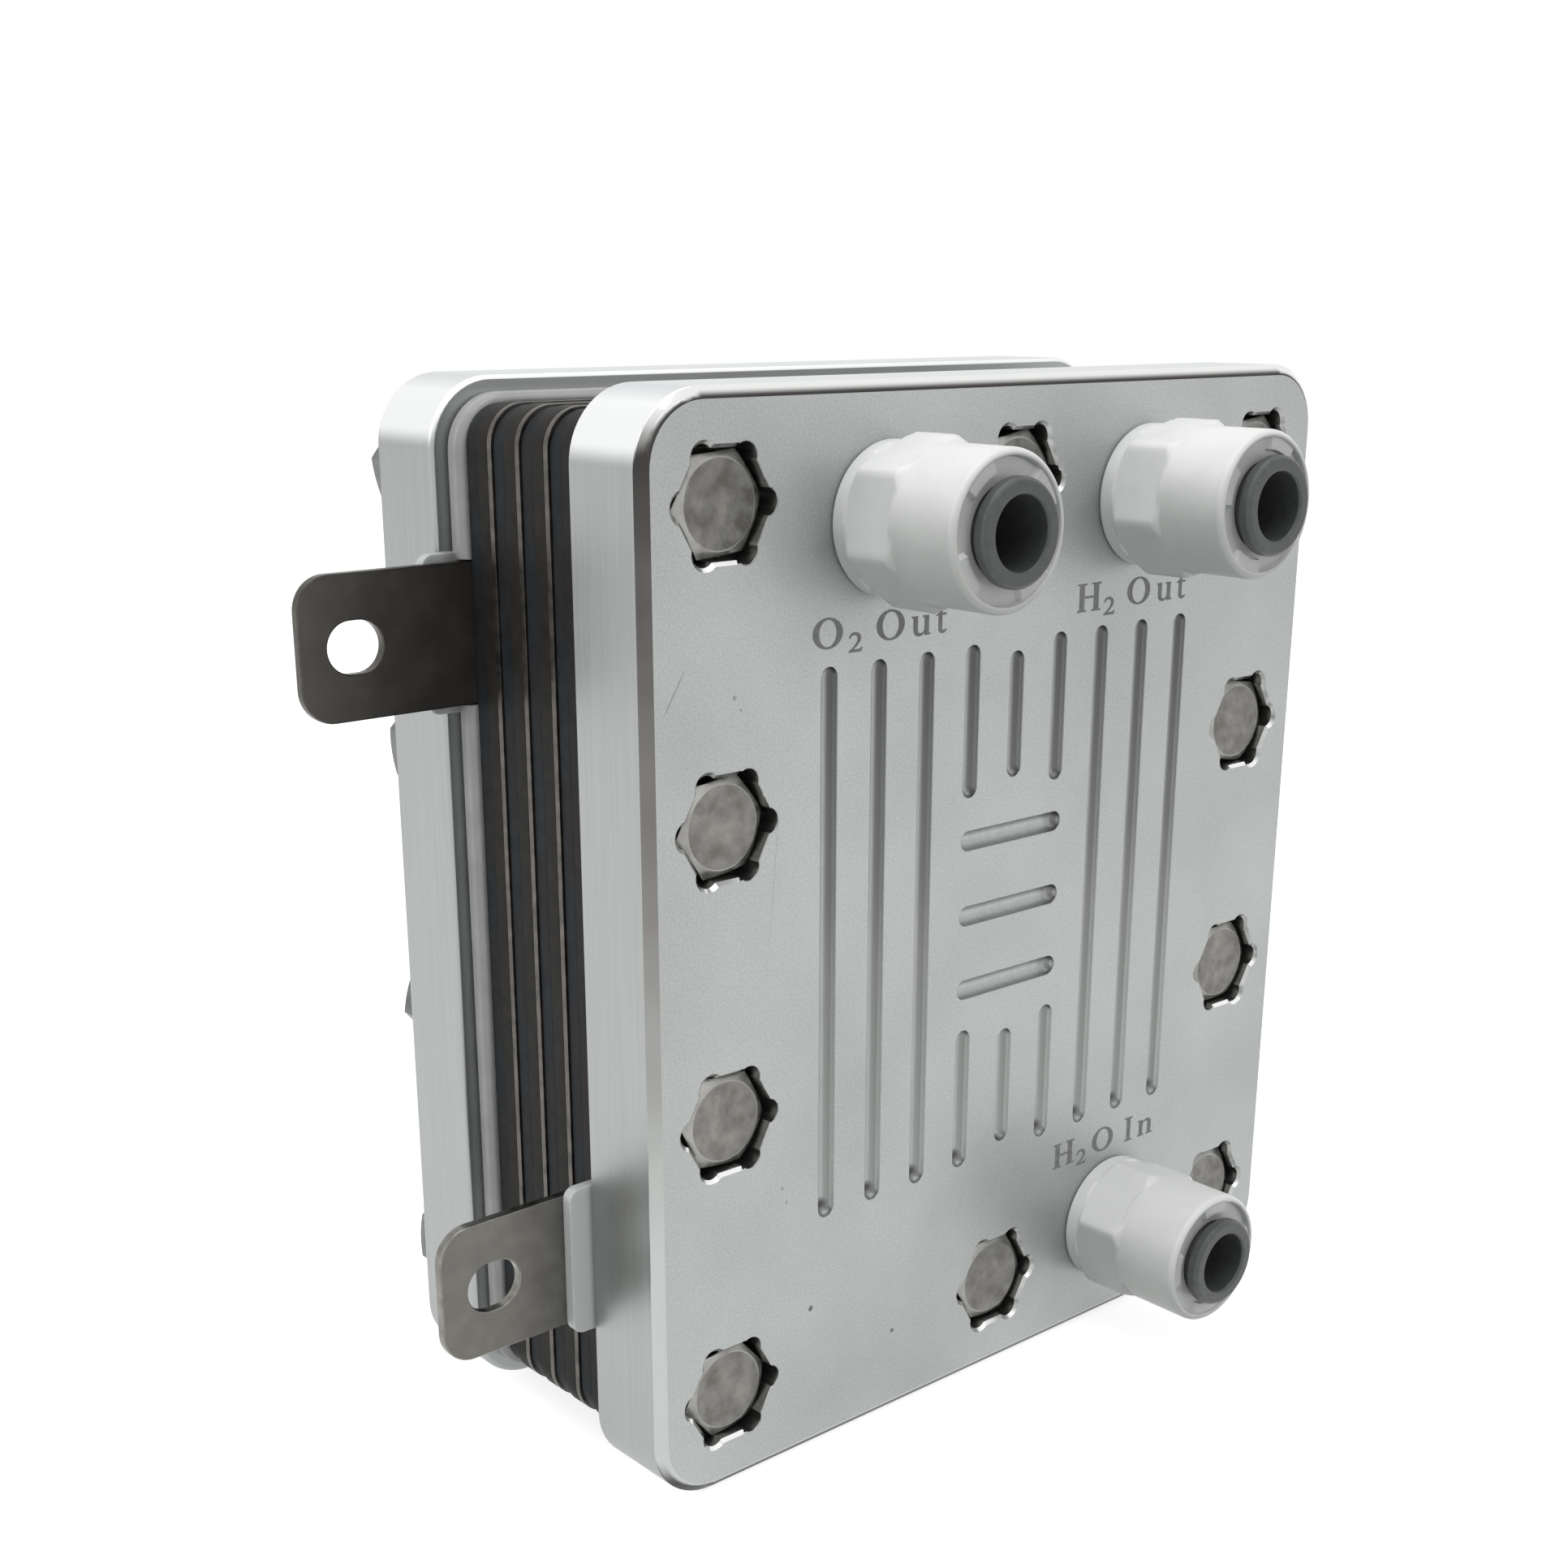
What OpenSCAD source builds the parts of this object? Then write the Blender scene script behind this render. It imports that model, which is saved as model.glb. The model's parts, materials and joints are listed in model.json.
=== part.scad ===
// Four-cell water electrolyser stack with push-fit ports, in millimetres.
// X runs along the front face, Y from the front plate to the rear plate and Z up.
// The origin is the middle of the front plate's foot.
// Inside the modules, y = 0 is the front face and z = 0 the middle height of the plates.

/* [End plates] */
// Width of both end plates
plate_w = 136; // [132:1:160]
// Height of both end plates
plate_h = 154; // [151:1:180]
// Thickness of one end plate
plate_t = 15; // [14:0.5:22]
// Corner radius of the end plates
plate_r = 10; // [6:0.5:14]
// Width of the bright outer bevel, across the face
bevel_w = 1.6; // [0.6:0.1:2.4]
// Depth of the bright outer bevel
bevel_d = 1.1; // [0.5:0.1:2.4]
// Small bevel on the inner edges
inner_bevel = 0.5; // [0.2:0.1:1]

/* [Clamp bolts] */
// Thread diameter of the clamp bolts
bolt_d = 8; // [6:0.5:8.5]
// Width across the flats of the bolt heads and nuts
head_af = 13; // [11:0.5:13.5]
// Height of a bolt head
head_h = 5.3; // [4:0.1:6]
// How far a bolt head lies below the front face
head_sink = 1.3; // [0.5:0.1:2.5]
// From the side of a plate to the outer bolt columns
bolt_side_inset = 13.5; // [12.5:0.5:14.5]
// From the top or bottom of a plate to the end bolt rows
bolt_end_inset = 14.5; // [13:0.5:15]
// Height of a nut; this tall kind is well over one bolt diameter high
nut_h = 11; // [5:0.1:13]
// Outer diameter of a washer
washer_d = 16; // [15:0.5:20]
// Thickness of a washer
washer_t = 1.6; // [1:0.1:2.5]
// Bolt end that stands past its nut
bolt_tail = 1.5; // [0.5:0.5:5]
// Wall of the insulating sleeve round each bolt
sleeve_wall = 1.3; // [0.8:0.1:1.6]

/* [Bolt pockets] */
// Gap between a bolt head's flats and its pocket
pocket_gap = 0.5; // [0.4:0.1:1]
// Radius of the reliefs at the six pocket corners
relief_r = 1.8; // [1.2:0.1:2]
// How far the relief centres lie inside the pocket corners
relief_inset = 1.4; // [1:0.1:1.8]

/* [Cells] */
// Thickness of one cell frame
frame_t = 2.65; // [2:0.05:4]
// Thickness of the membrane sheet
membrane_t = 0.3; // [0.2:0.05:0.6]
// Thickness of a bipolar plate
bipolar_t = 1; // [0.6:0.1:2]
// How far the cell edges lie inside the plate edges
cell_inset = 3.3; // [2.5:0.1:5]
// Corner radius of the cell pieces
cell_r = 5.5; // [3:0.5:8]
// How much smaller the cathode frames are, each side
cathode_step = 0.3; // [0:0.1:0.6]
// Width of the active window
window_w = 84; // [70:1:86]
// Height of the active window
window_h = 94; // [80:1:96]
// Corner radius of the active window
window_r = 3; // [2:0.5:8]

/* [Insulators and terminals] */
// Thickness of an insulator behind its terminal plate
insulator_t = 1.8; // [1.4:0.1:4]
// How far the insulator rims lie inside the plate edges
rim_inset = 2.2; // [1:0.1:2.4]
// Round on the insulator rim beside its end plate
rim_round = 1.2; // [0.4:0.1:1.3]
// Thickness of a terminal plate
terminal_t = 1.5; // [1:0.1:3]
// How far a terminal plate laps over the window edge
terminal_lap = 5.5; // [3:0.5:5.5]
// How far the terminal tabs reach past the plate sides
tab_reach = 23.6; // [18:0.2:40]
// Height of a terminal tab
tab_h = 20; // [14:0.5:22]
// Height of the tab centres above and below the middle
tab_z = 42.4; // [41:0.1:43]
// Corner radius at the free end of a tab
tab_r = 4.8; // [2:0.2:6]
// Length of the slot in a tab
slot_l = 8.5; // [7.5:0.1:12]
// Height of the slot in a tab
slot_h = 7.2; // [4:0.1:7.4]
// From a tab's free end to its slot centre
slot_inset = 8.4; // [7:0.1:11]
// How far the insulator ears reach past the plate sides
ear_reach = 3.4; // [1:0.1:10]
// How far an ear stands past its tab, above and below
ear_lap = 1.15; // [0.5:0.05:3]
// Corner radius of the insulator ears
ear_r = 1.8; // [0.5:0.1:3]

/* [Ports] */
// Sideways distance of the ports from the middle
port_x = 26.5; // [24:0.5:30]
// Height of the ports above and below the middle
port_z = 59; // [59:0.5:61]
// Diameter of the flow holes through the cells
flow_d = 10; // [6:0.5:10]
// Width of the flow channels cut in the frames
channel_w = 6; // [3:0.5:8]
// Depth of the flow channels
channel_d = 1.2; // [0.6:0.1:1.6]

/* [Push-fit fittings] */
// Outer diameter of the thread that screws into the front plate
thread_d = 16.6; // [15.5:0.1:18]
// Length of that thread
thread_l = 11; // [8:0.5:11.5]
// Thickness of the flat seal at the end of the thread
port_seal_t = 1.2; // [0.8:0.1:2]
// Diameter of the round shoulder on the plate
shoulder_d = 20.8; // [19.5:0.1:22]
// Length of the round shoulder
shoulder_l = 2.6; // [1.5:0.1:4]
// Width across the flats of the fitting's hexagon
hex_af = 20.2; // [20.1:0.1:20.8]
// Diameter over the turned corners of the hexagon
hex_corner_d = 23.1; // [22.2:0.1:23.2]
// Length of the hexagon
hex_l = 8.1; // [6:0.1:9]
// Diameter of the body in front of the hexagon
body_d = 21; // [20.5:0.1:22]
// Length of the body in front of the hexagon
body_l = 11.7; // [11:0.1:16]
// Round on the body's front rim
body_round = 0.9; // [0.3:0.1:1.2]
// Width of the body's front rim
rim_w = 1; // [0.8:0.1:1.5]
// Depth of the recess inside the rim
recess_d = 1; // [0.5:0.1:1.5]
// Turn of the oxygen fitting's hexagon, in degrees
oxygen_turn = 21; // [0:1:59]
// Turn of the hydrogen fitting's hexagon, in degrees
hydrogen_turn = 16; // [0:1:59]
// Turn of the water fitting's hexagon, in degrees
water_turn = 43; // [0:1:59]

/* [Release collets] */
// Bore of the collet, for tube of 9.525 outside
tube_bore_d = 9.6; // [8:0.1:9.8]
// Diameter of the collet flange
flange_d = 14.1; // [13.6:0.1:16]
// Thickness of the collet flange
flange_t = 2; // [1.2:0.1:3]
// How far a collet can be pushed in
collet_travel = 1; // [0.5:0.1:1.5]
// Gap left under the flange when it is pushed in
collet_stop_gap = 0.2; // [0.1:0.1:0.5]
// Gap between a collet and the bore that it slides in
collet_gap = 0.12; // [0.05:0.01:0.2]

/* [Face grooves] */
// Width of a groove, cut with a ball-ended cutter
groove_w = 3; // [1.5:0.1:4]
// Distance between the groove columns
groove_pitch = 9.2; // [6:0.1:9.6]
// Height of the groove ends above and below the middle
groove_reach = 40.2; // [34:0.1:41]
// How much shorter the middle column is at each end
groove_mid_drop = 1.8; // [0:0.1:4]
// Height where the middle columns stop above and below the middle
groove_gap_z = 18; // [16:0.5:24]
// Height of the outer cross grooves above and below the middle
groove_cross_z = 11.5; // [6:0.5:13]

/* [Hidden] */
$fn = 64;

// Clearances shared by the pieces that fit into each other
seat_gap = 0.1;
thread_gap = 0.04;
insert_gap = 0.15;
pierce = 1;

// Places along the depth, from the front face
cell_count = 4;
cell_t = 2 * frame_t + membrane_t;
cell_pitch = cell_t + bipolar_t;
terminal_y = plate_t + insulator_t;
cells_y = terminal_y + terminal_t;
cells_end_y = cells_y + cell_count * cell_t + (cell_count - 1) * bipolar_t;
rear_plate_y = cells_end_y + terminal_t + insulator_t;
rear_face_y = rear_plate_y + plate_t;

// Bolt places: two columns of four and one bolt each at the top and bottom middle
bolt_x = plate_w / 2 - bolt_side_inset;
bolt_z = plate_h / 2 - bolt_end_inset;
bolt_places = concat(
    [for (side = [-1, 1], row = [0:3]) [side * bolt_x, bolt_z * (1 - row * 2 / 3)]],
    [for (side = [1, -1]) [0, side * bolt_z]]
);
head_turns = [5, 8, -4, 11, 7, -9, 3, -6, 10, -2];
bolt_hole_r = bolt_d / 2 + 0.5;
head_seat_y = head_sink + head_h;
bolt_end_y = rear_face_y + washer_t + nut_h + bolt_tail;
sleeve_bore_r = bolt_d / 2 + 0.2;
sleeve_r = sleeve_bore_r + sleeve_wall;
sleeve_hole_r = sleeve_r + seat_gap;

// Port places: oxygen at the top left, hydrogen at the top right, water at the bottom right
oxygen_at = [-port_x, port_z];
hydrogen_at = [port_x, port_z];
water_at = [port_x, -port_z];
port_places = [oxygen_at, hydrogen_at, water_at];
flow_r = flow_d / 2;

// Outlines of the pieces between the end plates
cell_w = plate_w - 2 * cell_inset;
cell_h = plate_h - 2 * cell_inset;
rim_outer_w = plate_w - 2 * rim_inset;
rim_outer_h = plate_h - 2 * rim_inset;
rim_r = plate_r - rim_inset;
terminal_w = window_w + 2 * terminal_lap;
terminal_h = window_h + 2 * terminal_lap;
membrane_inset = 1;
tab_end_x = -plate_w / 2 - tab_reach;
ear_end_x = -plate_w / 2 - ear_reach;

// Stations of a fitting, measured outward from the front face
hex_end = shoulder_l + hex_l;
body_end = hex_end + body_l;
recess_floor = body_end - recess_d;
flange_back = recess_floor + collet_travel + collet_stop_gap;
collet_face = flange_back + flange_t;
tube_stop = 1;
seal_back = 5.6;
seal_front = 7.8;
collet_inner_end = seal_front + collet_travel + 0.4;
barb_end = collet_inner_end + 3;
barb_cone = barb_end + 1.5;
cam_back = barb_cone + 1.5;
cam_front = cam_back + 1.6;
tube_bore_r = tube_bore_d / 2;
collet_wall = 1.15;
neck_r = tube_bore_r + collet_wall;
barb_r = neck_r + 0.6;
neck_bore_r = neck_r + collet_gap;
chamber_r = barb_r + collet_gap;
tube_seat_r = tube_bore_r + 0.05;
flow_bore_r = tube_seat_r - 1.3;
ring_y = collet_inner_end + 1.2;
ring_t = 0.5;
ring_r = neck_r - 0.15;

// Shapes drawn in the XZ plane and given their thickness along Y
module sheet(y, t) {
    translate([0, y + t, 0]) rotate([90, 0, 0]) linear_extrude(t) children();
}

// Round bar along Y
module bar(at, y, l, r) {
    translate([at[0], y, at[1]]) rotate([-90, 0, 0]) cylinder(h = l, r = r);
}

// Turned shape along Y; the profile holds [radius, distance outward from the front face]
module turned(at, profile) {
    translate([at[0], 0, at[1]]) rotate([90, 0, 0]) rotate_extrude() polygon(profile);
}

module round_rect(w, h, r) {
    square([w - 2 * r, h], center = true);
    square([w, h - 2 * r], center = true);
    for (sx = [-1, 1], sz = [-1, 1]) translate([sx * (w / 2 - r), sz * (h / 2 - r)]) circle(r);
}

// Hexagon with flats at the top and bottom
module hexagon(af) {
    circle(r = af / sqrt(3), $fn = 6);
}

// Rectangular plate with round corners whose edge follows a list of [inset, y] points
module edged_plate(w, h, r, edge) {
    last = len(edge) - 1;
    linear_extrude(h - 2 * r, center = true) polygon(concat(
        [for (e = edge) [w / 2 - e[0], e[1]]],
        [for (i = [last:-1:0]) [edge[i][0] - w / 2, edge[i][1]]]
    ));
    rotate([0, 90, 0]) linear_extrude(w - 2 * r, center = true) polygon(concat(
        [for (e = edge) [h / 2 - e[0], e[1]]],
        [for (i = [last:-1:0]) [edge[i][0] - h / 2, edge[i][1]]]
    ));
    for (sx = [-1, 1], sz = [-1, 1])
        translate([sx * (w / 2 - r), 0, sz * (h / 2 - r)]) rotate([-90, 0, 0])
            rotate_extrude() polygon(concat(
                [[0, edge[0][1]]],
                [for (e = edge) [r - e[0], e[1]]],
                [[0, edge[last][1]]]
            ));
}

module end_plate_blank() {
    edged_plate(plate_w, plate_h, plate_r, [
        [bevel_w, 0], [0, bevel_d], [0, plate_t - inner_bevel], [inner_bevel, plate_t]
    ]);
}

module bolt_pocket(at) {
    corner = (head_af + 2 * pocket_gap) / sqrt(3) - relief_inset;
    translate([at[0], 0, at[1]]) {
        sheet(-pierce, head_seat_y + pierce) hexagon(head_af + 2 * pocket_gap);
        for (k = [0:5])
            bar([corner * cos(60 * k), corner * sin(60 * k)], -pierce, head_seat_y + pierce, relief_r);
    }
}

// Groove with ball ends between two points on the front face
module groove(x1, z1, x2, z2) {
    length = norm([x2 - x1, z2 - z1]);
    translate([x1, 0, z1]) rotate([0, x2 > x1 ? 90 : 0, 0]) {
        cylinder(h = length, r = groove_w / 2);
        sphere(r = groove_w / 2);
        translate([0, 0, length]) sphere(r = groove_w / 2);
    }
}

module face_grooves() {
    end_z = groove_reach - groove_w / 2;
    gap_z = groove_gap_z + groove_w / 2;
    for (c = [-4:4]) {
        x = c * groove_pitch;
        if (abs(c) > 1) groove(x, -end_z, x, end_z);
        else for (s = [-1, 1]) {
            top = c == 0 ? end_z - groove_mid_drop : end_z;
            stop = c == 0 ? gap_z + groove_mid_drop : gap_z;
            groove(x, min(s * top, s * stop), x, max(s * top, s * stop));
        }
    }
    for (s = [-1:1])
        groove(-groove_pitch, s * groove_cross_z, groove_pitch, s * groove_cross_z);
}

module front_end_plate() {
    color("silver") difference() {
        end_plate_blank();
        for (at = bolt_places) {
            bolt_pocket(at);
            bar(at, 0, plate_t + pierce, bolt_hole_r);
        }
        for (at = port_places) bar(at, -pierce, plate_t + 2 * pierce, thread_d / 2 + thread_gap);
        face_grooves();
    }
}

module rear_end_plate() {
    color("silver") difference() {
        translate([0, rear_face_y, 0]) mirror([0, 1, 0]) end_plate_blank();
        for (at = bolt_places) bar(at, rear_plate_y - pierce, plate_t + 2 * pierce, bolt_hole_r);
    }
}

// Insulator drawn for the front plate: a tray that holds the terminal plate, with an ear on the
// left behind the tab
module insulator(z) {
    depth = insulator_t + terminal_t;
    steps = 5;
    round_edge = [for (i = [0:steps]) let (a = 90 * i / steps)
        [rim_round * (1 - sin(a)), rim_round * (1 - cos(a))]];
    ear_h = tab_h + 2 * ear_lap;
    difference() {
        union() {
            edged_plate(rim_outer_w, rim_outer_h, rim_r, concat(round_edge, [[0, depth - 0.3], [0.3, depth]]));
            sheet(0, insulator_t) translate([ear_end_x + ear_h / 2, z]) round_rect(ear_h, ear_h, ear_r);
        }
        sheet(insulator_t, terminal_t + pierce)
            square([terminal_w + 2 * insert_gap, terminal_h + 2 * insert_gap], center = true);
        sheet(insulator_t, terminal_t + pierce) translate([-plate_w / 2, z])
            square([plate_w, tab_h + 2 * insert_gap], center = true);
        for (at = bolt_places) bar(at, -pierce, depth + 2 * pierce, sleeve_hole_r);
    }
}

module front_insulator() {
    spigot_y = thread_l + port_seal_t;
    color("white") difference() {
        union() {
            translate([0, plate_t, 0]) insulator(-tab_z);
            for (at = port_places)
                bar(at, spigot_y, terminal_y - spigot_y, thread_d / 2 - seat_gap);
        }
        for (at = port_places) bar(at, spigot_y - pierce, cells_y, flow_r);
    }
}

module rear_insulator() {
    color("white") translate([0, rear_plate_y, 0]) mirror([0, 1, 0]) insulator(tab_z);
}

module terminal_plate(y, z) {
    color("dimgray") sheet(y, terminal_t) difference() {
        union() {
            square([terminal_w, terminal_h], center = true);
            translate([tab_end_x / 2 + tab_r / 2, z]) square([-tab_end_x - tab_r, tab_h], center = true);
            translate([tab_end_x / 2, z]) square([-tab_end_x, tab_h - 2 * tab_r], center = true);
            for (s = [-1, 1]) translate([tab_end_x + tab_r, z + s * (tab_h / 2 - tab_r)]) circle(tab_r);
        }
        translate([tab_end_x + slot_inset, z]) {
            square([slot_l - slot_h, slot_h], center = true);
            for (s = [-1, 1]) translate([s * (slot_l - slot_h) / 2, 0]) circle(slot_h / 2);
        }
    }
}

module front_terminal_plate() {
    terminal_plate(terminal_y, -tab_z);
}

module rear_terminal_plate() {
    terminal_plate(cells_end_y, tab_z);
}

// Outline of a piece between the plates, with its holes for the bolt sleeves and the flow
module cell_outline(inset) {
    difference() {
        round_rect(cell_w - 2 * inset, cell_h - 2 * inset, cell_r);
        for (at = bolt_places) translate(at) circle(sleeve_hole_r);
        for (at = port_places) translate(at) circle(flow_r);
    }
}

module cell_frame(y, inset) {
    sheet(y, frame_t) difference() {
        cell_outline(inset);
        round_rect(window_w, window_h, window_r);
    }
}

// Channel from a flow hole to the window, cut into a frame from y
module flow_channel(at, y) {
    reach = abs(at[1]) - window_h / 2 + pierce;
    side = at[1] > 0 ? 1 : -1;
    sheet(y, channel_d) translate([at[0], at[1] - side * reach / 2])
        square([channel_w, reach], center = true);
}

function cell_y(i) = cells_y + (i - 1) * cell_pitch;

module anode_frame(i) {
    color("dimgray") difference() {
        cell_frame(cell_y(i), 0);
        flow_channel(oxygen_at, cell_y(i));
        flow_channel(water_at, cell_y(i));
    }
}

module cathode_frame(i) {
    y = cell_y(i) + frame_t + membrane_t;
    color("darkslategray") difference() {
        cell_frame(y, cathode_step);
        flow_channel(hydrogen_at, y + frame_t - channel_d);
    }
}

module membrane(i) {
    color("wheat") sheet(cell_y(i) + frame_t, membrane_t) cell_outline(membrane_inset);
}

module window_fill(y) {
    sheet(y, frame_t) round_rect(window_w - 2 * insert_gap, window_h - 2 * insert_gap, window_r);
}

module anode_mesh(i) {
    color("gray") window_fill(cell_y(i));
}

module cathode_felt(i) {
    color("black") window_fill(cell_y(i) + frame_t + membrane_t);
}

module bipolar_plate(i) {
    color("lightgray") sheet(cell_y(i) + cell_t, bipolar_t) cell_outline(0);
}

// Hexagon prism along Y with both ends turned to a cone
module turned_hex(y, h, af, bore_r) {
    corner = af / sqrt(3);
    flat = af * 0.475;
    drop = (corner - flat) * 0.55;
    difference() {
        intersection() {
            sheet(y, h) hexagon(af);
            translate([0, y, 0]) rotate([-90, 0, 0]) rotate_extrude() polygon([
                [0, 0], [flat, 0], [corner, drop], [corner, h - drop], [flat, h], [0, h]
            ]);
        }
        bar([0, 0], y - pierce, h + 2 * pierce, bore_r);
    }
}

module clamp_bolt() {
    flat = head_af * 0.45;
    corner = head_af / sqrt(3);
    end_bevel = bolt_d / 10;
    intersection() {
        sheet(head_sink, head_h) hexagon(head_af);
        translate([0, head_sink, 0]) rotate([-90, 0, 0]) rotate_extrude() polygon([
            [0, 0], [flat, 0], [corner, (corner - flat) * 0.5], [corner, head_h], [0, head_h]
        ]);
    }
    translate([0, head_seat_y - pierce, 0]) rotate([-90, 0, 0]) rotate_extrude() polygon([
        [0, 0], [bolt_d / 2, 0], [bolt_d / 2, bolt_end_y - head_seat_y + pierce - end_bevel],
        [bolt_d / 2 - end_bevel, bolt_end_y - head_seat_y + pierce],
        [0, bolt_end_y - head_seat_y + pierce]
    ]);
}

module clamp_bolts() {
    color("lightgray") for (i = [0:len(bolt_places) - 1])
        translate([bolt_places[i][0], 0, bolt_places[i][1]])
            rotate([0, -head_turns[i], 0]) clamp_bolt();
}

module bolt_sleeves() {
    color("white") for (at = bolt_places) difference() {
        bar(at, plate_t, rear_plate_y - plate_t, sleeve_r);
        bar(at, plate_t - pierce, rear_plate_y - plate_t + 2 * pierce, sleeve_bore_r);
    }
}

module washers() {
    color("lightgray") for (at = bolt_places) difference() {
        bar(at, rear_face_y, washer_t, washer_d / 2);
        bar(at, rear_face_y - pierce, washer_t + 2 * pierce, bolt_d / 2 + 0.2);
    }
}

module nuts() {
    color("lightgray") for (i = [0:len(bolt_places) - 1])
        translate([bolt_places[i][0], 0, bolt_places[i][1]]) rotate([0, 3 * head_turns[i], 0])
            turned_hex(rear_face_y + washer_t, nut_h, head_af, bolt_d / 2 + thread_gap);
}

// Push-fit body: thread, round shoulder, hexagon and round body, with the bores for the tube,
// the seal and the collet
module fitting(at, turn) {
    shoulder_r = shoulder_d / 2;
    body_r = body_d / 2;
    corner_r = hex_corner_d / 2;
    rise = corner_r - shoulder_r;
    fall = corner_r - body_r;
    arc = [for (a = [0:15:90])
        [body_r - body_round * (1 - cos(a)), body_end - body_round * (1 - sin(a))]];
    difference() {
        union() {
            turned(at, [[0, -thread_l], [thread_d / 2 - 0.8, -thread_l], [thread_d / 2, 0.8 - thread_l],
                [thread_d / 2, 0], [shoulder_r - 0.5, 0], [shoulder_r, 0.5], [shoulder_r, shoulder_l],
                [thread_d / 2, shoulder_l], [thread_d / 2, hex_end + pierce], [0, hex_end + pierce]]);
            intersection() {
                translate([at[0], -hex_end - fall, at[1]]) rotate([0, -turn, 0])
                    sheet(0, hex_l + fall) hexagon(hex_af);
                turned(at, [[0, shoulder_l], [shoulder_r, shoulder_l], [corner_r, shoulder_l + rise],
                    [corner_r, hex_end], [body_r, hex_end + fall], [0, hex_end + fall]]);
            }
            turned(at, concat([[0, hex_end], [body_r - 0.3, hex_end], [body_r, hex_end + 0.3]],
                arc, [[0, body_end]]));
        }
        turned(at, [[0, -thread_l - pierce], [flow_bore_r, -thread_l - pierce], [flow_bore_r, tube_stop],
            [tube_seat_r, tube_stop], [tube_seat_r, seal_back], [chamber_r, seal_back],
            [chamber_r, cam_back], [neck_bore_r, cam_front], [neck_bore_r, recess_floor],
            [body_r - rim_w, recess_floor], [body_r - rim_w, body_end + pierce],
            [0, body_end + pierce]]);
    }
}

// Release collet: flange, neck and slotted fingers with a barb at the inner end
module collet(at) {
    flange_r = flange_d / 2;
    lip = 0.3;
    ease = 0.5;
    difference() {
        turned(at, [[tube_bore_r + lip, collet_face], [tube_bore_r, collet_face - lip],
            [tube_bore_r, collet_inner_end], [barb_r - 0.4, collet_inner_end],
            [barb_r, collet_inner_end + 0.4], [barb_r, barb_end], [neck_r, barb_cone],
            [neck_r, flange_back], [flange_r - 0.2, flange_back], [flange_r, flange_back + 0.2],
            [flange_r, collet_face - ease], [flange_r - ease, collet_face]]);
        turned(at, [[0, ring_y - seat_gap / 2], [ring_r + seat_gap / 2, ring_y - seat_gap / 2],
            [ring_r + seat_gap / 2, ring_y + ring_t + seat_gap / 2], [0, ring_y + ring_t + seat_gap / 2]]);
        for (k = [0:2]) translate([at[0], 0, at[1]]) rotate([0, 60 * k, 0])
            translate([-chamber_r, -barb_cone, -0.4])
                cube([2 * chamber_r, barb_cone - collet_inner_end + pierce, 0.8]);
    }
}

// Toothed steel ring that grips the tube, carried in the collet
module grab_ring(at) {
    teeth = 12;
    sheet(-ring_y - ring_t, ring_t) translate(at) difference() {
        circle(ring_r);
        circle(tube_bore_r);
        for (k = [0:teeth - 1]) rotate(360 * k / teeth)
            translate([tube_bore_r, 0]) square([1, 0.5], center = true);
    }
}

// Round seal, drawn at the size that the pushed-in tube squeezes it to
module tube_seal(at) {
    section = (chamber_r - tube_seat_r) / 2;
    translate([at[0], -seal_back - section, at[1]]) rotate([90, 0, 0]) rotate_extrude()
        translate([chamber_r - section, 0]) circle(section);
}

module port_seal(at) {
    color("black") difference() {
        bar(at, thread_l, port_seal_t, thread_d / 2 - seat_gap);
        bar(at, thread_l - pierce, port_seal_t + 2 * pierce, flow_bore_r + 0.5);
    }
}

module oxygen_fitting() {
    color("ghostwhite") fitting(oxygen_at, oxygen_turn);
}

module hydrogen_fitting() {
    color("ghostwhite") fitting(hydrogen_at, hydrogen_turn);
}

module water_fitting() {
    color("ghostwhite") fitting(water_at, water_turn);
}

module release_collet(at) {
    color("gray") collet(at);
}

module steel_grab_ring(at) {
    color("lightgray") grab_ring(at);
}

module rubber_tube_seal(at) {
    color("black") tube_seal(at);
}

// Moves a piece from the front-face datum to the foot of the front plate
module placed() {
    translate([0, -plate_t / 2, plate_h / 2]) children();
}

placed() front_end_plate();
placed() rear_end_plate();
placed() front_insulator();
placed() rear_insulator();
placed() front_terminal_plate();
placed() rear_terminal_plate();
for (i = [1:cell_count - 1]) {
    placed() bipolar_plate(i);
}
for (i = [1:cell_count]) {
    placed() anode_frame(i);
    placed() cathode_frame(i);
    placed() membrane(i);
    placed() anode_mesh(i);
    placed() cathode_felt(i);
}
placed() clamp_bolts();
placed() bolt_sleeves();
placed() washers();
placed() nuts();
placed() oxygen_fitting();
placed() hydrogen_fitting();
placed() water_fitting();
placed() release_collet(oxygen_at);  // oxygen_collet
placed() release_collet(hydrogen_at);  // hydrogen_collet
placed() release_collet(water_at);  // water_collet
placed() steel_grab_ring(oxygen_at);  // oxygen_grab_ring
placed() steel_grab_ring(hydrogen_at);  // hydrogen_grab_ring
placed() steel_grab_ring(water_at);  // water_grab_ring
placed() rubber_tube_seal(oxygen_at);  // oxygen_tube_seal
placed() rubber_tube_seal(hydrogen_at);  // hydrogen_tube_seal
placed() rubber_tube_seal(water_at);  // water_tube_seal
placed() port_seal(oxygen_at);  // oxygen_port_seal
placed() port_seal(hydrogen_at);  // hydrogen_port_seal
placed() port_seal(water_at);  // water_port_seal
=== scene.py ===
# %% [markdown]
# # A four-cell electrolyser stack, dressed in Blender
# The stack is two thick aluminium plates that clamp thin plastic-framed cells between them. The
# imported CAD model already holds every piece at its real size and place. This lesson gives each
# piece the small rounded edges, the surface and the wear that the eye reads as real.

# %% Load the frame
import json
import math

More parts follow.
